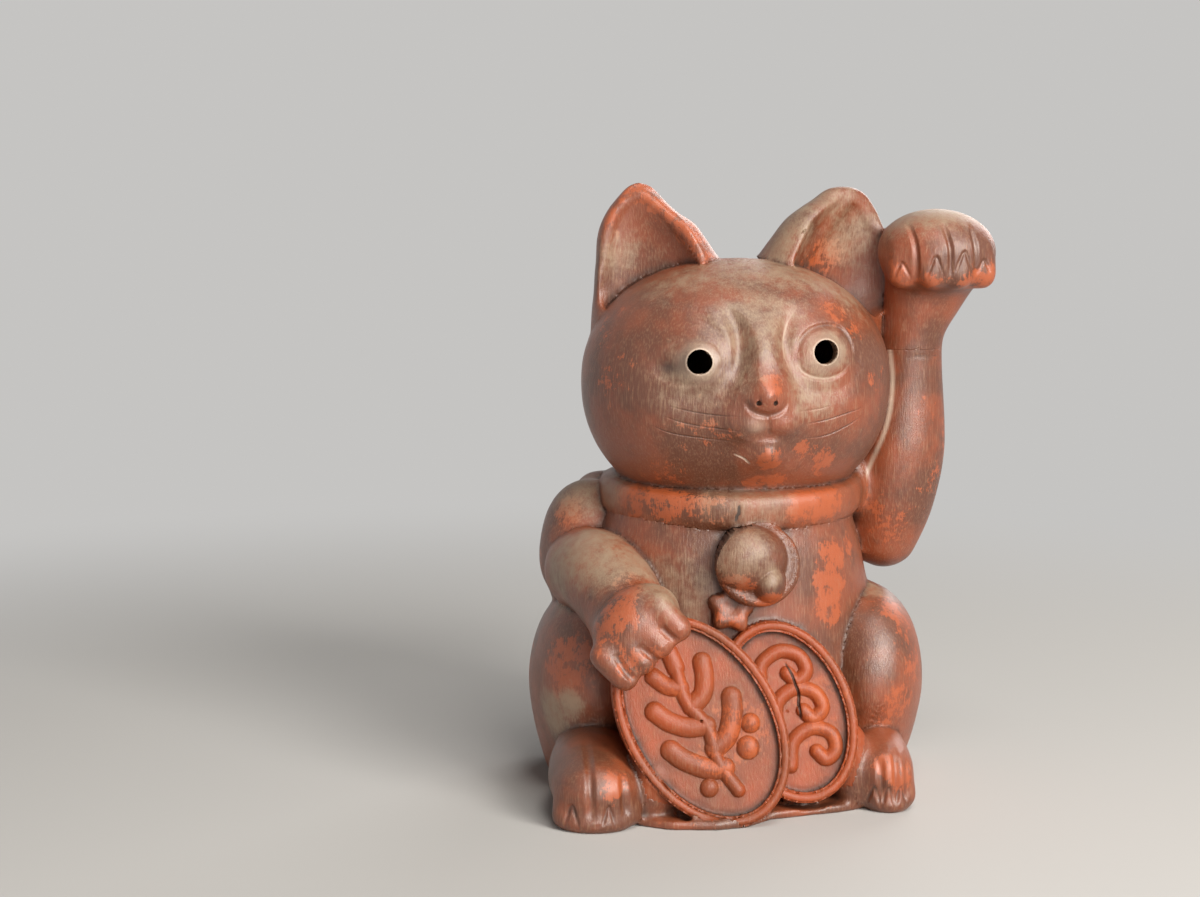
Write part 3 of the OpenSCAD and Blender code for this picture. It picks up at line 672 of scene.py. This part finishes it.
def round_bore(piece, reach):
    """Moves the vertices of a piece that lie within a reach of the middle of each eye onto the bore."""
    at = read(piece.data.vertices, "co", 3).astype(float)
    flat, forward = from_front(at / mm)
    for side in (-1, 1):
        offset, far = from_eye(flat, side)
        edge = (far < reach) & (forward > 0)
        pull = offset * ((eye_bore - far) / np.maximum(far, 0.1))[:, None]
        at[edge] += (pull[:, :1] * turned[:, 0] + pull[:, 1:] * turned[:, 2])[edge] * mm
    piece.data.vertices.foreach_set("co", at.astype(np.float32).ravel())
    piece.data.update()


# The bores of the eyes are cut out of the skin before it gets its wall, where the skin is made finer,
# and the nose is blunted.
for finer in range(2):
    flat, forward = from_front(read(face.data.polygons, "center", 3) / mm)
    near_eye = [from_eye(flat, side)[1] < eye_field - finer for side in (-1, 1)]
    refine(face, (near_eye[0] | near_eye[1]) & (forward > 0))
flat, forward = from_front(read(face.data.polygons, "center", 3) / mm)
bored = [from_eye(flat, side)[1] < eye_bore for side in (-1, 1)]
choose_faces(face, (bored[0] | bored[1]) & (forward > 0))
bpy.ops.mesh.delete(type="FACE")
bpy.ops.object.mode_set(mode="OBJECT")
round_bore(face, eye_bore + 0.2)
forward = from_front(read(face.data.vertices, "co", 3) / mm)[1]
press(face, nose_give * np.maximum(forward - nose_start, 0), turned[:, 1])
thicken(face, head_wall)
round_bore(face, eye_bore)

lid_lines = {
    "right_upper": [(-50, 10), (-45, 17), (-38, 21.5), (-30, 23.2), (-23, 21.5), (-18.5, 15)],
    "right_lower": [(-50, 10), (-45, 4.5), (-38, 2.6), (-31, 2.6), (-23, 6.5), (-18.5, 15)],
    "left_upper": [(16.7, 14.7), (18.2, 21.9), (24, 27.3), (32.5, 29), (40, 27), (44.5, 20.5), (46, 14.5),
                   (53, 8)],
    "left_lower": [(16.7, 14.7), (18.2, 9), (23.2, 5.8), (31, 4.6), (38.5, 6.5), (44.5, 11.5)],
}
valleys = [[(-20, 37), (-13.5, 31.5), (-10.2, 25), (-9.3, 17), (-9.8, 7.5), (-9.8, -2)],
           [(19, 38), (13.5, 31), (10.3, 23), (10.3, 15), (13.5, 8)]]
brow_edges = [[(-27, 39.5), (-20, 34), (-16, 27.5), (-14.8, 20), (-17, 10)],
              [(24, 36), (18, 30), (15, 23), (15, 16)]]
whiskers = [[(-43, -8), (-32.5, -10.3), (-22, -11.7), (-12, -12)],
            [(-45.5, -12.8), (-34.5, -16), (-22, -17.8), (-11.5, -19)],
            [(-51, -17), (-41.5, -20.6), (-28, -22.6), (-14, -24)],
            [(18, -16.5), (30.5, -15), (43, -12), (52, -10)],
            [(18, -23.5), (31, -22.5), (42, -18.5), (51, -14)]]
faint_whisker = [(15, -10.2), (25, -9.7), (33, -8.4)]
mouth = [(-8.5, -23.4), (-4, -22), (1.5, -21.2), (7, -22), (12, -23.6)]
philtrum = [(0.3, -11), (1, -16), (1.5, -21)]
nose_edge = [(-9.8, -4), (-7, -9), (0, -11.2), (7, -9), (9.8, -4)]
nostrils = [(-4.3, -5.6), (3.4, -5.6)]
lip_middle = (3.2, -31.2)
chip = [(-13.5, -30), (-9, -32), (-5.6, -35)]


def outer_faces(piece):
    """Tells which faces of a piece are on its outer side."""
    skin = surface(piece)[2]
    loops = read(piece.data.loops, "vertex_index", kind=np.int32)
    return skin[loops[read(piece.data.polygons, "loop_start", kind=np.int32)]]


flat, forward = from_front(read(face.data.polygons, "center", 3) / mm)
open_face = (np.abs(flat[:, 0]) < face_half) & (flat[:, 1] > face_low_edge) & (flat[:, 1] < face_top_edge)
open_face &= forward > 20
near_eye = [from_eye(flat, side)[1] < eye_field + 0.5 for side in (-1, 1)]
refine(face, open_face & ~near_eye[0] & ~near_eye[1] & outer_faces(face))
flat, forward = from_front(read(face.data.polygons, "center", 3) / mm)
scratched = np.zeros(len(flat), dtype=bool)
for line in whiskers + [faint_whisker, chip]:
    scratched |= groove(flat, line, 1.0) > 0
for middle in nostrils:
    scratched |= np.linalg.norm(flat - middle, axis=1) < 2.5
refine(face, scratched & outer_faces(face) & (forward > 20))

# First the broad forms: eyeballs, brows, cheeks, the valleys beside the nose, and its bridge.
at, out, skin = surface(face)
flat, forward = from_front(at)
front = skin & (forward > 10)
depth = np.zeros(len(at))
for side in (-1, 1):
    depth -= 2.4 * mound(flat, (side * 29, eye_lift[side] + 2), (13, 11))
    depth -= 0.8 * mound(flat, (side * 34, 38), (20, 7))
    depth -= 1.4 * mound(flat, (1 + side * 8.5, -16.5), (7, 5))
depth += 2.8 * mound(flat, (-44, 9.5), (6.5, 5.5)) + 0.8 * mound(flat, (47, 13), (5, 6))
depth += 3.4 * groove(flat, valleys[0], 6.5, soft_ends) + 1.4 * groove(flat, valleys[1], 5, soft_ends)
depth -= 1.5 * groove(flat, brow_edges[0], 7, soft_ends)
depth -= 0.8 * groove(flat, brow_edges[1], 6, soft_ends)
depth -= 0.8 * mound(flat, (0.3, 0), (9, 9))
press(face, depth * front, turned[:, 1])

# Then the fine ones: lids, nose, mouth, lip, whiskers and a chip, with their dirt, painted shade
# in the hollows, pale slip and a painted highlight on a muzzle pad.
at = surface(face)[0]
flat = from_front(at)[0]
depth = np.zeros(len(at))
grime = np.zeros(len(at))
pale = np.zeros(len(at))
crease = np.zeros(len(at))
swell = np.zeros(len(at))
# Each lid line gets a thin dark line of painted shade in its crease.
for label, line in lid_lines.items():
    upper = label.endswith("upper")
    firm = 1.0 if label.startswith("left") else 0.6
    fold = [(x, z + (3.0 if upper else -2.6)) for x, z in line]
    crease = np.maximum(crease, firm * (0.95 if upper else 0.6) * groove(flat, line, 1.9))
    swell = np.maximum(swell, firm * (0.75 if upper else 0.45) * groove(flat, fold, 4.4))
    grime = np.maximum(grime, firm * (0.45 if upper else 0.15) * groove(flat, line, 1.2))
# Painted shade at the outer corner of one eye and along the valley beside the nose.
grime += 0.6 * mound(flat, (-43, 9.5), (5.5, 4.5)) + 0.3 * groove(flat, valleys[0], 3.5, soft_ends)
depth += crease - swell
for side in (-1, 1):
    far = from_eye(flat, side)[1]
    pale += 0.5 * np.clip(1 - ((far - eye_bore) / 0.9) ** 2, 0, 1) + 0.3 * np.exp(-((far - 7) / 3) ** 2)
# The nose's lower edge, the nostrils, philtrum, mouth and whiskers darken with grime and painted shade.
depth -= 1.4 * mound(flat, (0.2, -4), (8, 6))
depth += 1.3 * groove(flat, nose_edge, 2.4)
grime += 0.45 * groove(flat, nose_edge, 2.0)
for middle in nostrils:
    pit = np.clip(1 - (np.linalg.norm(flat - middle, axis=1) / 1.3) ** 2, 0, 1)
    depth += 2.6 * pit
    grime += 2.0 * pit
depth += 0.7 * groove(flat, philtrum, 1.8) + 0.8 * groove(flat, mouth, 4.0)
grime += 0.25 * groove(flat, philtrum, 1.5) + 0.15 * groove(flat, mouth, 3.0)
depth -= 3.8 * mound(flat, lip_middle, (6.6, 5.6))
for line in whiskers:
    depth += 0.32 * groove(flat, line, 0.6)
    grime += 0.6 * groove(flat, line, 0.5)
depth += 0.2 * groove(flat, faint_whisker, 0.6)
grime += 0.3 * groove(flat, faint_whisker, 0.5)
depth += 0.4 * groove(flat, chip, 0.7)
pale += 0.8 * groove(flat, chip, 0.7)
# A pale spot on a muzzle pad is a painted highlight in the slip colour.
pale += 0.3 * mound(flat, (-4.5, -16.5), (4, 3.5))
pale += 0.4 * groove(flat, valleys[1], 0.7) + 0.4 * groove(flat, lid_lines["left_lower"], 0.7)
press(face, depth * front, turned[:, 1])
round_bore(face, eye_bore + 0.3)
keep_mark(face, "grime", grime * front)
keep_mark(face, "pale", np.clip(pale, 0, 0.8) * front)
stain(face, "worn", [((-4, -80, 205), 9, 0.75), ((-5, -69, 168), 9, 0.85), ((11, -64, 172), 7, 0.75),
                     ((17, -61, 170), 6, 0.7), ((22, -55, 165), 9, 0.8), ((24, -54, 158), 8, 0.7),
                     ((-10, -58, 154), 8, 1.0), ((0, -58, 154), 8, 1.0), ((37, -48, 226), 8, 0.6),
                     ((27, -49, 236), 12, 0.55), ((50, -44, 201), 14, 0.5), ((-35, -70, 184), 18, 0.45),
                     ((-53, -51, 158), 16, 0.5), ((-70, -40, 205), 20, 0.45), ((-78, -30, 230), 18, 0.45)])
stain(face, "dust", [((-18, -36, 255), 24, 0.6), ((0, -31, 256), 26, 0.7), ((15, -31, 253), 24, 0.6),
                     ((-49, -38, 248), 18, 0.5), ((-38, -38, 252), 18, 0.6), ((35, -30, 246), 20, 0.6),
                     ((-10, -66, 232), 30, 0.6), ((-14, -66, 205), 16, 0.5), ((-40, -64, 202), 22, 0.5),
                     ((12, -62, 200), 20, 0.6), ((-34, -62, 213), 10, 0.6), ((25, -60, 217), 12, 0.7)])
pick(face)
bpy.ops.object.modifier_add(type="DECIMATE")
face.modifiers["Decimate"].ratio = face_share
bpy.ops.object.modifier_apply(modifier="Decimate")
fire("face_shell")

nape_wear = [((-70, 20, 190), 20, 0.7), ((20, 50, 185), 22, 0.65), ((-30, 52, 225), 20, 0.5)]
nape_dust = [((-14, 10, 258), 45, 0.6), ((-40, 20, 245), 30, 0.6), ((20, 20, 245), 30, 0.6)]
dress("nape_shell", head_wall, nape_wear, nape_dust)

# Ears
# Cones of clay luted to the crown, with the hollow pressed in by thumb and the rim rounded off.
ear_wall = 2.5
ear_rims = {
    "right_ear": [(-78.7, 244.7), (-77.9, 256), (-76, 271.4), (-72.5, 281.4), (-67, 288.3), (-60.5, 291.4),
                  (-53.8, 287.2), (-46.8, 280), (-39.7, 271.7), (-33.4, 262.8), (-27.9, 254.3)],
    "left_ear": [(18.6, 257), (27.5, 268.3), (33.8, 277), (40.2, 284.7), (45.3, 288), (50.5, 284),
                 (54.4, 277), (59.7, 271.4)],
}
ear_hollows = {
    "right_ear": [(-53, 248), (-56.4, 270), (-60, 287)],
    "left_ear": [(38.7, 247), (45, 264.4), (46, 281)],
}
ear_thumbs = [((-50, 0, 290), 7, -3.5), ((-31, 0, 275), 11, 3.5), ((31, 2, 290), 6, -3.0),
              ((0, 2, 260), 8, -2.0)]
rim_height = 1.2
rim_breadth = 4.5
ear_rubs = 40
hollow_rubs = 120
ear_wear = [((-61, -12, 294), 16, 0.65), ((-76, -6, 274), 16, 0.5), ((-50, -17, 286), 14, 0.7),
            ((-37, -23, 273), 14, 0.7), ((-29, -27, 257), 12, 0.6), ((31, -1, 261), 16, 0.65),
            ((23, -5, 256), 12, 0.7)]
ear_dust = [((6, -15, 266), 14, 0.7), ((12, -14, 274), 16, 0.7), ((33, -4, 292), 18, 0.6),
            ((20, -4, 284), 14, 0.7), ((45, 0, 270), 20, 0.6), ((-50, 15, 270), 26, 0.6),
            ((-72, -8, 262), 14, 0.6)]


def smooth(piece, chosen, turns):
    """Rubs the chosen vertices of a piece smooth."""
    pick(piece)
    bpy.context.tool_settings.mesh_select_mode = (True, False, False)
    bpy.ops.object.mode_set(mode="EDIT")
    bpy.ops.mesh.select_all(action="DESELECT")
    bpy.ops.object.mode_set(mode="OBJECT")
    piece.data.vertices.foreach_set("select", chosen)
    bpy.ops.object.mode_set(mode="EDIT")
    bpy.ops.mesh.vertices_smooth(factor=0.5, repeat=turns)
    bpy.ops.object.mode_set(mode="OBJECT")


for name in ("right_ear", "left_ear"):
    ear = members[name]
    at = read(ear.data.vertices, "co", 3) / mm
    depth = np.zeros(len(at))
    for middle, reach, thumb in ear_thumbs:
        depth += thumb * np.exp(-(np.linalg.norm(at - middle, axis=1) / reach) ** 2)
    press(ear, depth)
    uses = np.bincount(read(ear.data.loops, "edge_index", kind=np.int32), minlength=len(ear.data.edges))
    inside = np.ones(len(at), dtype=bool)
    inside[read(ear.data.edges, "vertices", 2, np.int32)[uses == 1].ravel()] = False
    smooth(ear, inside, ear_rubs)
    flat = (read(ear.data.vertices, "co", 3) / mm)[:, [0, 2]]
    ahead = read(ear.data.vertices, "normal", 3)[:, 1] < 0
    near, along = away(flat, ear_hollows[name], 30)
    smooth(ear, inside & ahead & (near < 27 - 18 * along), hollow_rubs)
    press(ear, -rim_height * groove(flat, ear_rims[name], rim_breadth) * ahead)
    dress(name, ear_wall, ear_wear, ear_dust)

# Collar
# A flat strip of clay laid round the neck over the joint of head and body, and pressed down at its edges.
collar_red = (0.260, 0.062, 0.021, 1)
clays["collar_clay"] = stoneware("collar_clay", collar_red, brown_clay, 0.8, 0.7)
collar_wall = 2
crack = [(-18, 145.5), (-18.6, 143), (-18.4, 141.5), (-19.6, 139), (-20, 137)]
collar = members["collar"]
thicken(collar, collar_wall)
at, out, skin = surface(collar)
front = skin & (at[:, 1] < -40)
split = groove(at[:, [0, 2]], crack, 0.9)
press(collar, 0.8 * split * front)
keep_mark(collar, "grime", 2.5 * split * front)
stain(collar, "worn", [((-67, -38, 146), 14, 0.75), ((-54, -51, 145), 14, 0.8), ((-42, -57, 145), 12, 0.7),
                       ((-30, -61, 143), 10, 0.5), ((17, -55, 144), 14, 0.75), ((27, -48, 144), 13, 0.75),
                       ((10, -58, 142), 10, 0.6), ((-60, 40, 148), 18, 0.7), ((20, 50, 148), 20, 0.7)])
stain(collar, "dust", [((-10, -63, 148), 20, 0.6), ((-30, -60, 148), 14, 0.5), ((-75, -20, 150), 18, 0.6)])
fire("collar")

# Bell
# A lumpy bell of clay with a second bulge low on its side, pressed on the chest under the collar.
bell_wall = 1.5
bell_ahead = 66
bell = members["bell"]
thicken(bell, bell_wall)
refine(bell, np.ones(len(bell.data.polygons), dtype=bool))
at, out, skin = surface(bell)
front = skin & (out[:, 1] < 0.2)
flat = at[:, [0, 2]]
domes = [((-15.6, 120.2), (17.6, 15.6), 12.5), ((-5.4, 109), (8.6, 10.4), 13.0)]
rise = np.zeros(len(at))
for middle, reach, height in domes:
    share = np.clip(1 - (((flat - middle) / reach) ** 2).sum(axis=1), 0, 1)
    rise = np.maximum(rise, (bell_ahead + height * np.sqrt(share) + at[:, 1]) * (share > 0))
press(bell, rise * front, (0, -1, 0))
stain(bell, "worn", [((-5, -75, 102), 7, 1.0), ((-17, -74, 109), 8, 0.8), ((-22, -73, 111), 7, 0.7)])
stain(bell, "dust", [((-17, -77, 127), 16, 0.65), ((-22, -74, 120), 14, 0.6), ((-5, -78, 113), 8, 0.7)])
fire("bell")

# Star knot
# A small star of clay with five soft points and a dimple, pressed on the chest under the bell.
knot_middle = np.array((-24, -66, 95.5)) * mm
knot_growth = np.array((1.27, 1.0, 1.3))
knot_wall = 1
knot = members["star_knot"]
at = knot_middle + (read(knot.data.vertices, "co", 3) - knot_middle) * knot_growth
knot.data.vertices.foreach_set("co", at.astype(np.float32).ravel())
knot.data.update()
thicken(knot, knot_wall)
refine(knot, np.ones(len(knot.data.polygons), dtype=bool))
stain(knot, "worn", [((-22, -66, 94), 10, 0.5)])
fire("star_knot")

# Raised arm
# A rolled limb of clay luted to the left side of body and head, with the paw bent forward beside the ear;
# the toes are parted by strokes of a modelling tool and the claws are cut with a point.
limb_red = (0.265, 0.058, 0.018, 1)
clays["limb_clay"] = stoneware("limb_clay", limb_red, brown_clay, 1.0, 0.85)
limb_wall = 3
toe_cut = (1.3, 2.0, 0.3, 1.2)
claw_cut = (0.8, 1.3, 0.35, 0.9)
arm_wear = [((55, -4, 138), 14, 0.6), ((60, -4, 124), 13, 0.55), ((67, -8, 132), 14, 0.5),
            ((86, -4, 148), 16, 0.45), ((102, -25, 247), 14, 0.75), ((84, -8, 181), 16, 0.4),
            ((60, -25, 254), 12, 0.5), ((75, -30, 246), 14, 0.5), ((96, 10, 170), 20, 0.5)]
arm_dust = [((84, -10, 282), 24, 0.9), ((70, -12, 276), 14, 0.8), ((100, -8, 278), 14, 0.7)]
seam = [(70, 210.5), (76, 211.2), (83, 211), (90, 212)]
residue = [(61.5, 236), (63.2, 219), (64.8, 198), (62.2, 178), (55, 158), (46.5, 137)]
arm = members["raised_arm"]
thicken(arm, limb_wall)
at, out, skin = surface(arm)
hair = groove(at[:, [0, 2]], seam, 0.8) * (out[:, 1] < -0.3) * skin
press(arm, 0.35 * hair)
keep_mark(arm, "grime", 0.7 * hair)
keep_mark(arm, "pale", 0.75 * groove(at[:, [0, 2]], residue, 1.6) * skin * (at[:, 1] < 10))
stain(arm, "worn", arm_wear)
fire("raised_arm")


def toward_front(piece):
    """Tells which faces of a piece look forward or only a little back."""
    return read(piece.data.polygons, "normal", 3)[:, 1] < 0.1


def carve(paw, strokes):
    """Cuts lines in the front of a paw, each with a depth and width, and a strength and width of grime and
    painted shade.
    """
    at, out, skin = surface(paw)
    flat = at[:, [0, 2]]
    front = skin * np.clip(-out[:, 1] * 2, 0, 1)
    depth = np.zeros(len(at))
    grime = np.zeros(len(at))
    for line, (deep, width, grime_and_shade_amount, grime_and_shade_width) in strokes:
        depth += deep * groove(flat, line, width)
        grime += grime_and_shade_amount * groove(flat, line, grime_and_shade_width)
    press(paw, depth * front)
    keep_mark(paw, "grime", grime * front)


paw = members["raised_paw"]
toe_gaps = [[(68.5, 277), (70.5, 265), (71.3, 249)], [(83.8, 277), (86.5, 265), (87, 251)],
            [(97.2, 277), (99.7, 265), (100.2, 251)]]
claws = [[(60.8, 249.5), (62.5, 254.5), (64.3, 257.5), (66.5, 254.5), (69, 249.5)],
         [(75.3, 250), (77.3, 256), (79.6, 260.5), (81.7, 256), (83.8, 250)],
         [(89.2, 252.5), (91.5, 259), (93.9, 262.8), (96.2, 258), (98.4, 252)],
         [(101, 252), (103, 256.5), (104.8, 259), (106.4, 256.5), (108, 252.5)]]
thicken(paw, limb_wall)
refine(paw, outer_faces(paw) & toward_front(paw))
carve(paw, [(line, toe_cut) for line in toe_gaps] + [(line, claw_cut) for line in claws])
stain(paw, "worn", arm_wear)
stain(paw, "dust", arm_dust)
fire("raised_paw")

# Lowered arm
# A rolled shoulder and forearm with a plump paw, whose toes lie over the rim of the large coin.
paw_wall = 2
front_toe_cut = (1.4, 2.6, 0.5, 1.8)
low_wear = [((-96, -8, 135), 12, 0.75), ((-75, -89, 109), 12, 0.8), ((-79, -97, 101), 14, 0.8),
            ((-85, -96, 93), 12, 0.7), ((-73, -77, 111), 10, 0.6), ((-75, -101, 79), 9, 0.75),
            ((-64, -104, 81), 9, 0.5), ((-108, 10, 110), 16, 0.5)]
low_dust = [((-85, -41, 128), 20, 0.8), ((-101, -40, 116), 22, 0.75), ((-92, -53, 120), 20, 0.8),
            ((-66, -60, 119), 18, 0.8), ((-55, -91, 110), 16, 0.8), ((-42, -57, 91), 14, 0.7),
            ((-81, -66, 118), 18, 0.8), ((-85, 0, 140), 20, 0.7)]
for name in ("right_shoulder", "right_forearm"):
    dress(name, limb_wall, low_wear, low_dust)

paw = members["right_front_paw"]
toe_gaps = [[(-80, 83), (-75, 75), (-70, 70)], [(-69.5, 87), (-63, 81.5), (-58, 77)],
            [(-59.5, 96), (-55.5, 91.5), (-51, 88)]]
thicken(paw, paw_wall)
refine(paw, toward_front(paw))
carve(paw, [(line, front_toe_cut) for line in toe_gaps])
stain(paw, "worn", low_wear)
stain(paw, "dust", low_dust)
fire("right_front_paw")

# Coins
# Two oval plates of clay leaning on the belly, each with a rolled rim and a raised ornament pressed from
# a stamp: a sprig with leaves and berries on the large one, and rolling waves on the small one.
coin_red = (0.330, 0.060, 0.015, 1)
coin_brown = (0.225, 0.050, 0.016, 1)
clays["coin_clay"] = stoneware("coin_clay", coin_red, coin_brown, 0.7, 0.4)
coin_lean = math.radians(12)
coins = {
    "large_coin": ((-38.8, -90.3, 48.4), math.radians(31), 105, 72),
    "small_coin": ((4.4, -73.4, 48.4), math.radians(20), 88, 62),
}
coin_wall = 2
rim_width = 5
rim_fall = 1.6
stamp_height = 2.8
coin_crack = [(3, -66, 71), (6.2, -67, 65), (7.4, -67, 61), (9.6, -69, 55), (9.4, -70, 50), (10.6, -71, 43)]
coin_wear = [((-20, -92, 45), 18, 0.75), ((-52, -92, 62), 16, 0.6), ((-30, -93, 30), 16, 0.6),
             ((18, -70, 55), 14, 0.8), ((20, -72, 38), 14, 0.8)]
sprig = {
    "stem": ([(-2, -36), (-3, -20), (1, -4), (-1, 12), (3, 27)], 2.6),
    "leaf_a": ([(-2, -24), (-9, -20), (-16, -11), (-19, -4)], 4.2),
    "leaf_b": ([(-1, -14), (7, -12), (14, -5), (18, 2)], 4.2),
    "leaf_c": ([(1, -3), (-7, 1), (-13, 8), (-16, 15)], 4.0),
    "leaf_d": ([(0, 8), (7, 10), (12, 16), (15, 23)], 3.8),
    "leaf_e": ([(0, 18), (-5, 22), (-8, 29)], 3.4),
    "bud": ([(3, 27), (4, 34), (3, 38)], 3.6),
    "berry_a": ([(12, -22), (12.3, -21.6)], 4.6),
    "berry_b": ([(19, -13), (19.2, -12.7)], 3.8),
    "berry_c": ([(-13, -28), (-12.8, -27.8)], 3.6),
}
waves = {
    "swell_a": ([(-8, 16), (-4, 25), (6, 28), (14, 23), (15, 15), (9, 12), (6, 17)], 2.8),
    "swell_b": ([(-8, -4), (-3, 6), (7, 9), (15, 4), (16, -4), (10, -7), (7, -2)], 2.8),
    "swell_c": ([(-8, -24), (-3, -14), (7, -11), (15, -16), (15, -24), (9, -27), (6, -22)], 2.8),
    "spray_a": ([(-14, 24), (-13.7, 24.3)], 2.8),
    "spray_b": ([(-15, 4), (-14.7, 4.3)], 2.8),
    "spray_c": ([(-15, -16), (-14.7, -15.7)], 2.8),
}
stamps = {"large_coin": sprig, "small_coin": waves}
for name, (middle, tilt, long, short) in coins.items():
    coin = members[name]
    stood = Matrix.Translation(Vector(middle)) @ Matrix.Rotation(math.radians(90) - coin_lean, 4, "X")
    stood = stood @ Matrix.Rotation(tilt, 4, "Z")
    onto_coin = np.array(stood.inverted())
    thicken(coin, coin_wall)
    for turn in range(2):
        middles = read(coin.data.polygons, "center", 3) / mm @ onto_coin[:3, :3].T + onto_coin[:3, 3]
        inside = (middles[:, 0] / (short / 2)) ** 2 + (middles[:, 1] / (long / 2)) ** 2 < 1.02
        field = outer_faces(coin) & inside & (middles[:, 2] > -6) & (middles[:, 2] < 3)
        if turn:
            near = np.full(len(middles), 1e3)
            for line, half in stamps[name].values():
                near = np.minimum(near, np.abs(away(middles[:, :2], line, half + 4)[0] - half))
            field &= near < 1.6
        refine(coin, field)
    at, out, skin = surface(coin)
    local = at @ onto_coin[:3, :3].T + onto_coin[:3, 3]
    flat = local[:, :2]
    front = skin & (local[:, 2] > -6) & (out @ np.array(stood)[:3, 2] > 0.3)
    raised = np.zeros(len(at))
    ring = np.zeros(len(at))
    for line, half in stamps[name].values():
        near = away(flat, line, half + 5)[0]
        rise = np.clip(1 - (near / (half + 0.7)) ** 2, 0, 1) ** 0.6
        raised = np.maximum(raised, rise)
        ring = np.maximum(ring, np.clip(1 - (near - half - 0.3) / 6, 0, 1))
    round_off = np.sqrt((flat[:, 0] / (short / 2)) ** 2 + (flat[:, 1] / (long / 2)) ** 2)
    inset = np.linalg.norm(flat, axis=1) * (1 / np.maximum(round_off, 0.1) - 1)
    cord = np.sqrt(np.clip(1 - ((inset - 2.2) / 2.3) ** 2, 0, 1))
    on_rim = np.clip((rim_width + 0.5 - inset) * 2, 0, 1) * (inset > -0.2)
    raised *= inset > rim_width + 1
    step = np.clip(1 - np.abs(inset - rim_width - 0.3) / 1.6, 0, 1)
    press(coin, (rim_fall * (1 - cord) * on_rim - stamp_height * raised) * front)
    # The field darkens with grime round the ornament, and with painted shade under the rim's edge and at the
    # feet of the strokes.
    low = (raised < 0.25) * (inset > rim_width)
    keep_mark(coin, "dust", 0.3 * ring * low * front)
    gap = np.clip(1 - np.abs(raised - 0.12) / 0.12, 0, 1) * (raised > 0)
    grime = np.maximum(np.maximum(0.45 * step, 0.5 * gap), 0.36 * ring * low) * front
    if name == "small_coin":
        line = np.array(coin_crack) @ onto_coin[:3, :3].T + onto_coin[:3, 3]
        split = groove(flat, line[:, :2], 0.9) * front
        press(coin, split)
        grime = np.maximum(grime, 3 * split)
    keep_mark(coin, "grime", grime)
    stain(coin, "worn", coin_wear)
    fire(name)

# Haunches
# Rounded masses of clay luted to the sides, as the folded hind legs of the seated cat.
haunch_wear = [((-103, -41, 69), 14, 0.75), ((-94, -49, 74), 13, 0.7), ((-100, -48, 58), 14, 0.75),
               ((-90, -54, 65), 12, 0.6), ((59, -35, 90), 12, 0.7), ((66, -40, 81), 13, 0.6),
               ((70, -42, 65), 15, 0.65), ((63, -51, 50), 14, 0.6), ((57, -52, 42), 12, 0.6),
               ((-110, 10, 60), 22, 0.6), ((76, 10, 60), 24, 0.6)]
haunch_dust = [((-105, -38, 41), 14, 0.9), ((-98, -50, 48), 10, 0.9), ((-90, -20, 97), 18, 0.9),
               ((50, -20, 99), 14, 0.7)]
for name in ("right_haunch", "left_haunch"):
    dress(name, limb_wall, haunch_wear, haunch_dust)

# Hind paws
# Blunt paws of clay under the haunches, with the toes parted by a tool and the claws cut with a point.
hind_toe_cut = (1.5, 2.8, 0.4, 1.6)
hind_claw_cut = (0.8, 1.4, 0.5, 1.1)
hind_wear = [((50, -79, 24), 9, 0.8), ((58, -79, 16), 9, 0.8), ((-79, -103, 22), 10, 0.8)]
hind_gaps = {
    "right_hind_paw": [[(-91, 38), (-91, 22), (-90.5, 6)], [(-76, 28), (-75.3, 17), (-74.5, 7)]],
    "left_hind_paw": [[(54.4, 32), (54.6, 18), (54.7, 5)], [(47, 27), (47.4, 15), (47.9, 5)],
                      [(60.6, 28), (60.5, 15), (60.3, 5)]],
}
hind_claws = {"right_hind_paw": (-99.6, -82.7), "left_hind_paw": (44.2, 51, 57.5)}
for name in hind_gaps:
    paw = members[name]
    thicken(paw, paw_wall)
    refine(paw, toward_front(paw))
    strokes = [(line, hind_toe_cut) for line in hind_gaps[name]]
    for x in hind_claws[name]:
        claw = [(x - 3.4, 2), (x - 1.8, 8), (x, 12.5), (x + 1.8, 8), (x + 3.4, 2)]
        strokes.append((claw, hind_claw_cut))
    carve(paw, strokes)
    stain(paw, "worn", hind_wear)
    fire(name)

# Front foot
# A low ledge of clay between the hind paws, on which the coins stand.
thicken(members["front_foot"], paw_wall)
fire("front_foot")

# Tail
# A short rolled tail curled against the back.
tail = members["tail"]
thicken(tail, limb_wall)
stain(tail, "worn", [((-20, 100, 22), 18, 0.8)])
fire("tail")
